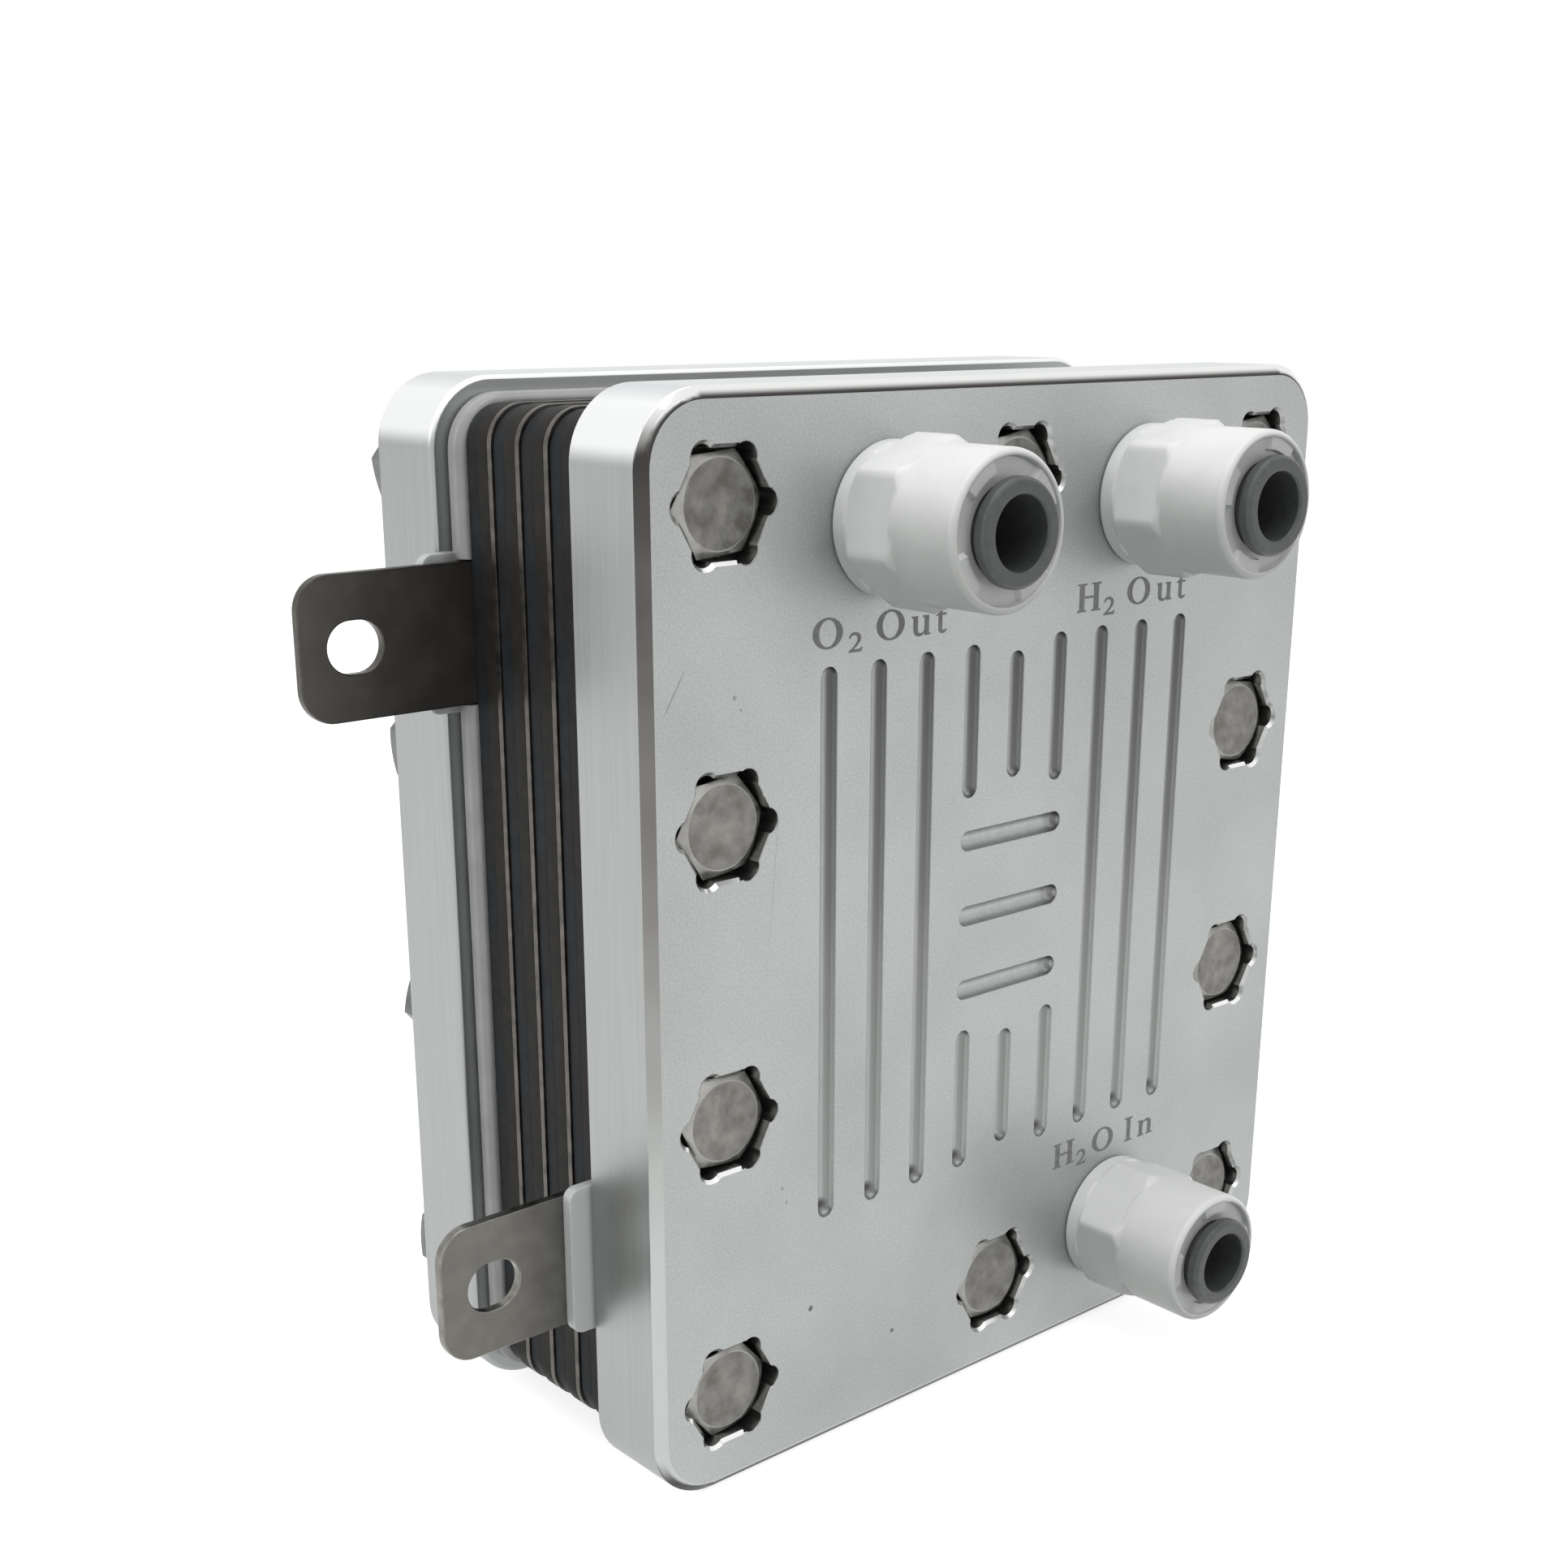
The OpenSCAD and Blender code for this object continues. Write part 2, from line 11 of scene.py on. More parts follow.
import bpy
from mathutils import Euler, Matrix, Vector

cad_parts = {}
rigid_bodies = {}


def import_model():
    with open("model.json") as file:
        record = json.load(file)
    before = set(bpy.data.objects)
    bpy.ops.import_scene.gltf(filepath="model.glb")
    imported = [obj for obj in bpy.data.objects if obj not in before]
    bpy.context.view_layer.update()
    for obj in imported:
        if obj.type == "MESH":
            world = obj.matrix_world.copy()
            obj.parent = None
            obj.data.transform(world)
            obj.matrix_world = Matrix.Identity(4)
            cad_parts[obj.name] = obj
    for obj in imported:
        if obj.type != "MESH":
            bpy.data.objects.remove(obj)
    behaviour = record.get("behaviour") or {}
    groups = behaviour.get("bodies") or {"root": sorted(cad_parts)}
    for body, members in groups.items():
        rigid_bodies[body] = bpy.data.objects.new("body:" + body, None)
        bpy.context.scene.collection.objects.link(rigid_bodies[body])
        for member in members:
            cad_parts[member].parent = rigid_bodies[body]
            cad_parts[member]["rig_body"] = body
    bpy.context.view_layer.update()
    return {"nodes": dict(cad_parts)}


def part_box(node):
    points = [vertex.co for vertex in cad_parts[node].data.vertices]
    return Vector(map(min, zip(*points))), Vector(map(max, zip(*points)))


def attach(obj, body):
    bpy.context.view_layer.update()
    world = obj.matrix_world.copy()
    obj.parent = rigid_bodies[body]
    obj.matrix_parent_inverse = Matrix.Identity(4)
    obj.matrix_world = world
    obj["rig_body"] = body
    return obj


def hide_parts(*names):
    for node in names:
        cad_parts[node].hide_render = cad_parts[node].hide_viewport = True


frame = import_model()
nodes = frame["nodes"]
scene = bpy.context.scene
MM = 0.001

# %% [markdown]
# ## Measures
# Everything that is placed later, such as the marks and the dents, is measured from the front face
# of the front plate. The middle of that face is the natural place to count from, because the real
# plate was drawn and machined from it too. These few values come from the boxes of the CAD nodes.

# %% Measures from the frame
plate_low, plate_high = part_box("front_end_plate")
front_y = plate_low.y
back_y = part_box("rear_end_plate")[1].y
middle_z = (plate_low.z + plate_high.z) / 2
plate_half_w = plate_high.x
plate_half_h = plate_high.z - middle_z
ports = {}
for port in ("oxygen", "hydrogen", "water"):
    low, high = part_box(port + "_collet")
    ports[port] = Vector(((low.x + high.x) / 2, low.y, (low.z + high.z) / 2))
print("front face at y =", round(front_y / MM, 2), "mm, middle at z =", round(middle_z / MM, 2), "mm")

# %% [markdown]
# ## Camera
# The photograph looks at the left front edge from a little above. A perspective camera was fitted
# to the object, which gives the place, the turn and the lens below. A small upward shift keeps the
# plates nearly upright in the frame, as a product photographer would do with a shift lens.

# %% Camera
SENSOR = 36.0
camera_data = bpy.data.cameras.new("studio_camera")
camera_data.sensor_width = SENSOR
camera_data.lens = 47.48
camera_data.shift_y = 0.12
camera_data.clip_start = 0.01
camera_data.clip_end = 20
camera = bpy.data.objects.new("studio_camera", camera_data)
camera.location = (-0.2217, -0.2113, 0.1648)
camera.rotation_euler = Euler((math.radians(90 - 18.21), 0, math.radians(-40.94)))
scene.collection.objects.link(camera)
scene.camera = camera
scene.view_settings.view_transform = "Standard"
print("lens", camera_data.lens, "mm, shift", camera_data.shift_y)

# %% [markdown]
# ## Colours and nodes
# Colours are easiest to judge as the hex values that a paint program shows, but a renderer adds
# light in linear values, so one function turns the first into the second. A second small function
# adds a node with its settings and its links, which keeps each material short enough to read. Three
# things come back in many finishes: a colour that drifts in patches, a fine grain, and a change
# that depends on where the surface faces.

# %% Colour and node helpers
def linear(hex_colour):
    """Turns an sRGB hex colour such as "#a0a0a0" into linear red, green, blue and alpha."""
    parts = [int(hex_colour[i:i + 2], 16) / 255 for i in (1, 3, 5)]
    values = [p / 12.92 if p <= 0.04045 else ((p + 0.055) / 1.055) ** 2.4 for p in parts]
    return (*values, 1.0)


def add_node(tree, kind, settings=(), links=()):
    """Adds one node. Settings reach its properties, its sockets or, as stops, its colour ramp.

    In a Mix node that mixes colours, socket 0 is the share and sockets 6 and 7 are the colours.
    """
    node = tree.nodes.new(kind)
    for name, value in settings:
        if name == "stops":
            elements = node.color_ramp.elements
            elements[0].position, elements[0].color = value[0][0], linear(value[0][1])
            elements[1].position, elements[1].color = value[-1][0], linear(value[-1][1])
            for position, colour in value[1:-1]:
                elements.new(position).color = linear(colour)
        elif isinstance(name, str) and name in node.bl_rna.properties:
            setattr(node, name, value)
        else:
            node.inputs[name].default_value = value
    for name, output in links:
        tree.links.new(output, node.inputs[name])
    return node


def start_material(name, metallic, roughness):
    """A new material with its shader's plain values set; returns material, tree and shader."""
    material = bpy.data.materials.new(name)
    material.use_nodes = True
    tree = material.node_tree
    shader = tree.nodes["Principled BSDF"]
    shader.inputs["Metallic"].default_value = metallic
    shader.inputs["Roughness"].default_value = roughness
    return material, tree, shader


def cloudy(tree, size_mm, stops, stretch=(1, 1, 1), detail=3.0):
    """Colours that drift in patches of about size_mm; returns colour, noise value and place."""
    texture = add_node(tree, "ShaderNodeTexCoord")
    place = add_node(tree, "ShaderNodeMapping", [("Scale", stretch)],
                     [("Vector", texture.outputs["Object"])])
    noise = add_node(tree, "ShaderNodeTexNoise", [("Scale", 1 / (size_mm * MM)), ("Detail", detail)],
                     [("Vector", place.outputs["Vector"])])
    ramp = add_node(tree, "ShaderNodeValToRGB", [("stops", stops)], [("Fac", noise.outputs["Fac"])])
    return ramp.outputs["Color"], noise.outputs["Fac"], place.outputs["Vector"]


def grain(tree, place, size_mm, depth_mm, below=None):
    """A bumpy skin: noise of about size_mm and depth_mm on top of another bump, if one is given."""
    noise = add_node(tree, "ShaderNodeTexNoise", [("Scale", 1 / (size_mm * MM)), ("Detail", 2.0)],
                     [("Vector", place)])
    links = [("Height", noise.outputs["Fac"])]
    if below is not None:
        links.append(("Normal", below))
    bump = add_node(tree, "ShaderNodeBump", [("Strength", 1.0), ("Distance", depth_mm * MM)], links)
    return bump.outputs["Normal"]


def uneven(tree, shader, fac, low, high):
    """Lets the roughness drift from low to high with the same patches as the colour."""
    rough = add_node(tree, "ShaderNodeMapRange", [("To Min", low), ("To Max", high)], [("Value", fac)])
    tree.links.new(rough.outputs["Result"], shader.inputs["Roughness"])


def facing(tree, axis, start, end, more=()):
    """How far the surface has turned along an axis: 0 where its normal has start there, 1 at end."""
    texture = add_node(tree, "ShaderNodeTexCoord")
    normal = add_node(tree, "ShaderNodeSeparateXYZ", [], [("Vector", texture.outputs["Normal"])])
    share = add_node(tree, "ShaderNodeMapRange", [("From Min", start), ("From Max", end), *more],
                     [("Value", normal.outputs[axis])])
    return share.outputs["Result"]


SOFTLY = ("interpolation_type", "SMOOTHSTEP")
print("white paper is", [round(v, 3) for v in linear("#f4f4f2")])

# %% [markdown]
# ## Bead-blasted aluminium
# The face of the front plate was blasted with fine glass beads. Each bead leaves a dent of a few
# hundredths of a millimetre, so the metal scatters light evenly and looks like pale grey stone. The
# grain is drawn a little coarser than real so that it shows. A plate that has been handled also has
# a few knocks: here they are small hollows at measured places, and one short diagonal scratch.

# %% Blasted face material
KNOCKS = [  # x and z from the middle of the face, radius and depth, all in mm
    (-39.7, -54.1, 0.55, 0.25), (-23.0, -63.5, 0.45, 0.2), (-53.3, 38.1, 0.4, 0.1),
    (-52.2, 36.4, 0.3, 0.08), (-45.2, -33.3, 0.4, 0.08), (-44.4, -35.6, 0.3, 0.08),
]
KNOCK_FLOOR = 0.3  # radius of a knock's flat floor, as a share of the whole
SCRATCH_FROM = (-65.2, 36.4)
SCRATCH_TO = (-61.0, 43.2)
SCRATCH_HALF_W = 0.2
SCRATCH_FLOOR = 0.05
SCRATCH_DEEP = 0.07
SCRATCH_FADE = 0.62  # where its ends have faded out, as a share of its length from the middle
BEAD_MM = 0.34


def blasted_aluminium():
    """Pale, even metal with knocks; returns the material."""
    material, tree, shader = start_material("bead_blasted_aluminium", 1.0, 0.5)
    colour, fac, place = cloudy(tree, 26, [(0.3, "#a6a9a8"), (0.5, "#adb0af"), (0.72, "#b4b7b6")])
    point = add_node(tree, "ShaderNodeTexCoord").outputs["Object"]
    dents = None
    for x, z, radius, depth in KNOCKS:
        spot = (x * MM, front_y, middle_z + z * MM)
        away = add_node(tree, "ShaderNodeVectorMath", [("operation", "DISTANCE"), (1, spot)],
                        [(0, point)])
        hollow = add_node(tree, "ShaderNodeMapRange", [
            SOFTLY, ("From Min", KNOCK_FLOOR * radius * MM), ("From Max", radius * MM),
            ("To Min", -depth), ("To Max", 0.0)],
            [("Value", away.outputs["Value"])]).outputs["Result"]
        if dents is None:
            dents = hollow
        else:
            dents = add_node(tree, "ShaderNodeMath", [("operation", "ADD")],
                             [(0, dents), (1, hollow)]).outputs["Value"]
    # The scratch is a long thin hollow: its own axes run along it and across it
    scratch_middle = ((SCRATCH_FROM[0] + SCRATCH_TO[0]) / 2 * MM, front_y,
                      middle_z + (SCRATCH_FROM[1] + SCRATCH_TO[1]) / 2 * MM)
    run = Vector((SCRATCH_TO[0] - SCRATCH_FROM[0], SCRATCH_TO[1] - SCRATCH_FROM[1]))
    squeeze = (SCRATCH_HALF_W / (run.length * SCRATCH_FADE), 1.0, 1.0)
    centred = add_node(tree, "ShaderNodeVectorMath", [
        ("operation", "SUBTRACT"), (1, scratch_middle)], [(0, point)])
    laid = add_node(tree, "ShaderNodeVectorRotate", [
        ("rotation_type", "Y_AXIS"), ("Angle", math.atan2(run.y, run.x))],
        [("Vector", centred.outputs["Vector"])])
    thin = add_node(tree, "ShaderNodeVectorMath", [("operation", "MULTIPLY"), (1, squeeze)],
                    [(0, laid.outputs["Vector"])])
    near = add_node(tree, "ShaderNodeVectorMath", [("operation", "LENGTH")],
                    [(0, thin.outputs["Vector"])])
    line = add_node(tree, "ShaderNodeMapRange", [
        SOFTLY, ("From Min", SCRATCH_FLOOR * MM), ("From Max", SCRATCH_HALF_W * MM),
        ("To Min", -SCRATCH_DEEP), ("To Max", 0.0)],
        [("Value", near.outputs["Value"])])
    marks = add_node(tree, "ShaderNodeMath", [("operation", "ADD")],
                     [(0, dents), (1, line.outputs["Result"])]).outputs["Value"]
    dented = add_node(tree, "ShaderNodeBump", [("Strength", 1.0), ("Distance", MM)],
                      [("Height", marks)])
    tree.links.new(grain(tree, place, 0.22, 0.018, dented.outputs["Normal"]), shader.inputs["Normal"])
    # The hollows are darker as well as deeper
    darker = add_node(tree, "ShaderNodeMapRange", [
        ("From Min", -0.2), ("From Max", 0.0), ("To Min", 0.35), ("To Max", 1.0)], [("Value", marks)])
    dirt = add_node(tree, "ShaderNodeVectorMath", [("operation", "SCALE")],
                    [(0, colour), ("Scale", darker.outputs["Result"])])
    # Bead dents are too fine to show, so their speckle is drawn at a third of a millimetre
    beads = add_node(tree, "ShaderNodeTexNoise", [("Scale", 1 / (BEAD_MM * MM)), ("Detail", 2.0)],
                     [("Vector", place)])
    speckle = add_node(tree, "ShaderNodeMapRange", [
        ("From Min", 0.3), ("From Max", 0.7), ("To Min", 0.9), ("To Max", 1.08)],
        [("Value", beads.outputs["Fac"])])
    speckled = add_node(tree, "ShaderNodeVectorMath", [("operation", "SCALE")],
                        [(0, dirt.outputs["Vector"]), ("Scale", speckle.outputs["Result"])])
    tree.links.new(speckled.outputs["Vector"], shader.inputs["Base Color"])
    uneven(tree, shader, fac, 0.46, 0.56)
    return material


face_metal = blasted_aluminium()
print("blasted face with", len(KNOCKS), "knocks and one scratch")

# %% [markdown]
# ## Milled aluminium
# The sides of the plates were milled and then rubbed along their length, so they carry very fine lines
# and look smoother than the blasted face. Where the metal turns up it is painted brighter, as painted
# light: the upper corners get the brightest painted highlight, and the flat top is painted a little
# duller. Real milling lines are a few hundredths of a millimetre apart and too fine to show, so they are
# drawn a quarter of one apart.

# %% Side, pocket and edge materials
LINE_MM = 0.25
LINE_DEEP_MM = 0.0012
LINE_STRETCH = 0.02


def milled_aluminium(name, stops, roughness, along, patch=0.5, lit_top=None, rise=None, lit_flat_top=None):
    """Metal with fine lines along the named axes.

    Where it turns up it takes a painted highlight colour, while its normal's Z passes from one value of
    rise to the other, and a painted light colour for the top where it lies level.
    """
    material, tree, shader = start_material(name, 1.0, roughness)
    stretch = [LINE_STRETCH if axis in along else 1.0 for axis in "XYZ"]
    colour, fac, place = cloudy(tree, patch, stops, stretch)
    # Faces that turn up take painted light: a painted highlight round the upper corners, and a paler
    # painted top where level
    if lit_top is not None:
        colour = add_node(tree, "ShaderNodeMix", [("data_type", "RGBA"), (7, linear(lit_top))],
                          [(0, facing(tree, "Z", *rise, [SOFTLY])), (6, colour)]).outputs[2]
    if lit_flat_top is not None:
        colour = add_node(tree, "ShaderNodeMix", [("data_type", "RGBA"), (7, linear(lit_flat_top))],
                          [(0, facing(tree, "Z", 0.8, 0.99)), (6, colour)]).outputs[2]
    tree.links.new(colour, shader.inputs["Base Color"])
    uneven(tree, shader, fac, roughness - 0.03, roughness + 0.04)
    tree.links.new(grain(tree, place, LINE_MM, LINE_DEEP_MM), shader.inputs["Normal"])
    return material


# Rubbed sides look soft and even, with lines that run round the plate; where they turn up they are
# painted paler, as painted light
side_metal = milled_aluminium("milled_aluminium_side", [(0.3, "#9fa2a1"), (0.7, "#a6a9a8")], 0.4, "XZ",
                              lit_top="#eeefef", rise=(0.03, 0.32), lit_flat_top="#cdd0d1")
# Pocket walls keep the lines of the cutter, which went in along Y
pocket_metal = milled_aluminium("milled_aluminium_pocket", [(0.3, "#8d8e8c"), (0.7, "#a5a6a4")], 0.34,
                                "Y")
# An edge that the cutter broke is a fresh, shiny line; where it turns up it gets a painted highlight
edge_metal = milled_aluminium("bright_aluminium_edge", [(0.35, "#7b7c7a"), (0.65, "#a3a4a2")], 0.2, "Y",
                              patch=1.6, lit_top="#f4f4f3", rise=(0.05, 0.75))
print("milled finishes:", side_metal.name, pocket_metal.name, edge_metal.name)

# %% [markdown]
# ## Polished bevel
# The wide bevel round the front was cut last, with a sharp cutter, and shines like a mirror. A painted
# reflection makes it pale low down on the plate and dark at the upper left. A colour ramp over the
# height, moved a little by slow noise, gives that drift. What a face gets on top of it depends on where
# it points: the top run gets a painted highlight, and the bottom run gets painted shade.

# %% Bevel material
DRIFT_MM = 9
DRIFT_REACH_MM = 24
DRIFT_START_MM = 8


def polished_bevel():
    """A near mirror with a painted reflection, pale at its foot and dark at its head; returns the
    material.
    """
    material, tree, shader = start_material("polished_aluminium_bevel", 1.0, 0.12)
    texture = add_node(tree, "ShaderNodeTexCoord")
    point = add_node(tree, "ShaderNodeSeparateXYZ", [], [("Vector", texture.outputs["Object"])])
    wave = add_node(tree, "ShaderNodeTexNoise", [("Scale", 1 / (DRIFT_MM * MM)), ("Detail", 1.0)],
                    [("Vector", texture.outputs["Object"])])
    drift = add_node(tree, "ShaderNodeMath", [("operation", "MULTIPLY_ADD"), (1, DRIFT_REACH_MM * MM)],
                     [(0, wave.outputs["Fac"]), (2, point.outputs["Z"])])
    height = add_node(tree, "ShaderNodeMapRange", [
        ("From Min", plate_low.z + DRIFT_START_MM * MM), ("From Max", plate_high.z)],
        [("Value", drift.outputs["Value"])])
    # Painted reflection: the tones run from pale at the foot to dark at the head
    tones = [(0, "#b4b7b5"), (0.3, "#afb2b0"), (0.45, "#939491"), (0.7, "#706e6b"), (1, "#454342")]
    ramp = add_node(tree, "ShaderNodeValToRGB", [("stops", tones)], [("Fac", height.outputs["Result"])])
    # The top run gets a painted highlight, and the change is spread round the corner
    painted_top_highlight = add_node(tree, "ShaderNodeMix", [("data_type", "RGBA"), (7, linear("#ededec"))],
                      [(0, facing(tree, "Z", 0.1, 0.48, [SOFTLY])), (6, ramp.outputs["Color"])])
    # The bottom run, which faces down, gets painted shade
    painted_bottom_shade = add_node(tree, "ShaderNodeMix", [("data_type", "RGBA"), (7, linear("#454543"))],
                      [(0, facing(tree, "Z", -0.12, -0.42, [SOFTLY])), (6, painted_top_highlight.outputs[2])])
    tree.links.new(painted_bottom_shade.outputs[2], shader.inputs["Base Color"])
    return material


bevel_metal = polished_bevel()
print("bevel finish:", bevel_metal.name)

# %% [markdown]
# ## Cut grooves
# A round-nosed cutter made the grooves. Their floors are bright and a little cloudy, while the wall that
# faces left gets painted shade, darkest high up. The last strip under the lip gets a painted highlight,
# and a spot of painted shade sits at the lower end of each groove. The spots repeat from groove to
# groove, so a coordinate that wraps round draws them all at once.

# %% Groove material
GROOVE_PITCH = 9.2
GROOVE_FOOT = -38.7  # lower ends of the grooves, in mm from the middle of the face
# Painted shade at each groove's foot: how far into the groove it sits, its dark core and its reach in mm,
# then its darkest share
FOOT_SHADE_IN = 1.1
FOOT_SHADE_CORE = 0.5
FOOT_SHADE_REACH = 1.3
FOOT_SHADE_LEVEL = 0.22


def groove_aluminium():
    """Bright on the floor; painted shade on the wall that faces left and at each foot, and a painted
    highlight under the lip.
    """
    material, tree, shader = start_material("cut_aluminium_groove", 1.0, 0.42)
    bright, _, place = cloudy(tree, 1.2, [(0.3, "#a7a9a8"), (0.7, "#b1b3b2")], (1, 1, 0.2))
    texture = add_node(tree, "ShaderNodeTexCoord")
    # The wall that faces left gets painted shade, darkest high up and paler towards the foot
    point = add_node(tree, "ShaderNodeSeparateXYZ", [], [("Vector", texture.outputs["Object"])])
    height = add_node(tree, "ShaderNodeMapRange", [
        ("From Min", middle_z + GROOVE_FOOT * MM), ("From Max", middle_z - GROOVE_FOOT * MM)],
        [("Value", point.outputs["Z"])])
    tones = [(0, "#878987"), (0.3, "#7e807e"), (0.45, "#797a79"), (0.6, "#6b6c6b"), (1, "#575857")]
    painted_wall_shade = add_node(tree, "ShaderNodeValToRGB", [("stops", tones)],
                      [("Fac", height.outputs["Result"])])
    sided = add_node(tree, "ShaderNodeMix", [("data_type", "RGBA")], [
        (0, facing(tree, "X", 0.05, -0.55, [SOFTLY])), (6, bright), (7, painted_wall_shade.outputs["Color"])])
    # The last of the wall, under the lip, gets a painted highlight
    painted_lip_highlight = facing(tree, "X", -0.8, -1.0, [("To Min", 1.0), ("To Max", 3.0)])
    colour = add_node(tree, "ShaderNodeVectorMath", [("operation", "SCALE")],
                      [(0, sided.outputs[2]), ("Scale", painted_lip_highlight)])
    # The painted shade at each foot: one groove's pitch, wrapped, with the spot in its middle
    corner = (-GROOVE_PITCH * MM / 2, front_y, middle_z + GROOVE_FOOT * MM)
    lowered = add_node(tree, "ShaderNodeVectorMath", [("operation", "SUBTRACT"), (1, corner)],
                       [(0, texture.outputs["Object"])])
    column = add_node(tree, "ShaderNodeVectorMath", [
        ("operation", "WRAP"), (1, (GROOVE_PITCH * MM, 1, 1)), (2, (0, -1, -1))],
        [(0, lowered.outputs["Vector"])])
    away = add_node(tree, "ShaderNodeVectorMath", [
        ("operation", "DISTANCE"), (1, (GROOVE_PITCH * MM / 2, FOOT_SHADE_IN * MM, 0))],
        [(0, column.outputs["Vector"])])
    darker = add_node(tree, "ShaderNodeMapRange", [
        ("From Min", FOOT_SHADE_CORE * MM), ("From Max", FOOT_SHADE_REACH * MM), ("To Min", FOOT_SHADE_LEVEL),
        ("To Max", 1.0)], [("Value", away.outputs["Value"])])
    spotted = add_node(tree, "ShaderNodeVectorMath", [("operation", "SCALE")],
                       [(0, colour.outputs["Vector"]), ("Scale", darker.outputs["Result"])])
    tree.links.new(spotted.outputs["Vector"], shader.inputs["Base Color"])
    tree.links.new(grain(tree, place, 0.3, 0.01), shader.inputs["Normal"])
    return material


groove_metal = groove_aluminium()
print("groove finish:", groove_metal.name)

# %% [markdown]
# ## Steel, terminals and cell edges
# The bolts are stainless steel. Their heads have been turned by a wrench more than once, so the colour is
# a dull mottled grey. The terminal plates are brass that has gone dark in damp air; the rear one is
# painted darker still, as painted shade, and the front one paler, in patches, as painted light. Only the
# cut edges of the cell pieces show: near-black moulded frames, and the pale line of a titanium plate
# between each pair.

# %% Steel, brass and titanium
def worn_metal(name, patch_mm, stops, roughness, grain_mm, depth_mm, metallic=1.0):
    """Mottled metal: patches, roughness, and a grain of grain_mm and depth_mm.

    A metallic value under 1 stands for a skin of tarnish that scatters light.
    """
    material, tree, shader = start_material(name, metallic, roughness)
    colour, fac, place = cloudy(tree, patch_mm, stops, detail=5.0)
    tree.links.new(colour, shader.inputs["Base Color"])
    uneven(tree, shader, fac, roughness - 0.1, roughness + 0.12)
    tree.links.new(grain(tree, place, grain_mm, depth_mm), shader.inputs["Normal"])
    return material


# Wrenches have left the flat of each head mottled and dull, with a skin that catches the light
head_steel = worn_metal("worn_stainless_steel", 2.3,
                        [(0.3, "#65625d"), (0.5, "#767571"), (0.72, "#8a8883")], 0.38, 0.5, 0.035)
# The turned cone and the sides of a head are smoother and paler
flank_steel = worn_metal("turned_stainless_steel", 2.4,
                         [(0.3, "#83827f"), (0.7, "#a09f9b")], 0.32, 0.5, 0.01)
# Nuts and washers were hardly touched: an even, soft grey
nut_steel = worn_metal("dull_stainless_steel", 3.0,
                       [(0.3, "#6a6c6a"), (0.7, "#7e807e")], 0.36, 0.4, 0.008)
# Rolled spring steel is thin, bright and even
spring_steel = worn_metal("spring_steel", 1.2,
                          [(0.3, "#8f8f8d"), (0.7, "#a4a4a1")], 0.3, 0.4, 0.005)
# Brass in damp air turns dark brown with hardly any gloss of metal; the rear terminal's copy is painted
# darker, as painted shade, and the front one's paler, as painted light
shaded_brass = worn_metal("tarnished_brass", 5.0,
                        [(0.25, "#524e4b"), (0.55, "#575451"), (0.8, "#5f5b57")], 0.36, 0.6, 0.006, 0.7)
lit_brass = worn_metal("tarnished_brass_painted_light", 3.2,
                        [(0.25, "#686662"), (0.5, "#706e69"), (0.78, "#7a7873")], 0.36, 0.4, 0.01, 0.85)
# Cut edges of the same plates: the rear one's painted darker, as painted shade, the front one's painted
# brighter, as a painted highlight
shaded_brass_edge = worn_metal("tarnished_brass_edge", 2.2,
                       [(0.3, "#45433f"), (0.7, "#5b5953")], 0.3, 0.5, 0.004)
lit_brass_edge = worn_metal("brass_edge_painted_highlight", 2.2,
                         [(0.3, "#6b6a66"), (0.7, "#8e8c86")], 0.25, 0.5, 0.004)
# Titanium is a warm grey; as sintered mesh it sparkles from many small rough grains
titanium = worn_metal("titanium_sheet", 2.0,
                      [(0.3, "#4c4a47"), (0.7, "#6e6a66")], 0.38, 0.4, 0.006)
sintered = worn_metal("sintered_titanium_mesh", 0.5,
                      [(0.35, "#4f4f4d"), (0.65, "#8b8a87")], 0.55, 0.3, 0.12)
print("metals:", head_steel.name, shaded_brass.name, titanium.name)

# %% [markdown]
# ## Plastics and rubber
# A moulded plastic has no sheen of its own colour: light glances off a clear skin, and some of it
# goes in and comes out again nearby. So each one gets a colour, a roughness, a fine moulded grain,
# and, where it is milky, some scattering under the skin. The frames are a glass-filled black
# plastic, one half of each cell a touch browner than the other.

# %% Plastic materials
SCATTER_MM = 1.2


def moulded_plastic(name, patch_mm, stops, roughness, grain_mm, depth_mm, milky=0.0, gloss=0.5):
    """Plastic with a moulded grain; milky is the share of light that scatters under its skin."""
    material, tree, shader = start_material(name, 0.0, roughness)
    shader.inputs["Specular IOR Level"].default_value = gloss
    shader.inputs["Subsurface Weight"].default_value = milky
    shader.inputs["Subsurface Scale"].default_value = SCATTER_MM * MM
    shader.inputs["Subsurface Radius"].default_value = (1.0, 0.95, 0.9)
    colour, _, place = cloudy(tree, patch_mm, stops)
    tree.links.new(colour, shader.inputs["Base Color"])
    tree.links.new(grain(tree, place, grain_mm, depth_mm), shader.inputs["Normal"])
    return material


# Acetal is dense and waxy, so the dark collets keep a soft shine
grey_acetal = moulded_plastic("dark_grey_acetal", 1.4,
                              [(0.3, "#4b4d4d"), (0.7, "#575959")], 0.42, 0.3, 0.008)
# Glass fibres at the surface take the shine off the frames
brown_frame = moulded_plastic("black_moulded_frame_warm", 2.5,
                              [(0.3, "#242322"), (0.7, "#302e2c")], 0.55, 0.35, 0.02, gloss=0.12)
blue_frame = moulded_plastic("black_moulded_frame_cool", 2.5,
                             [(0.3, "#222426"), (0.7, "#2d2f32")], 0.55, 0.35, 0.02, gloss=0.12)
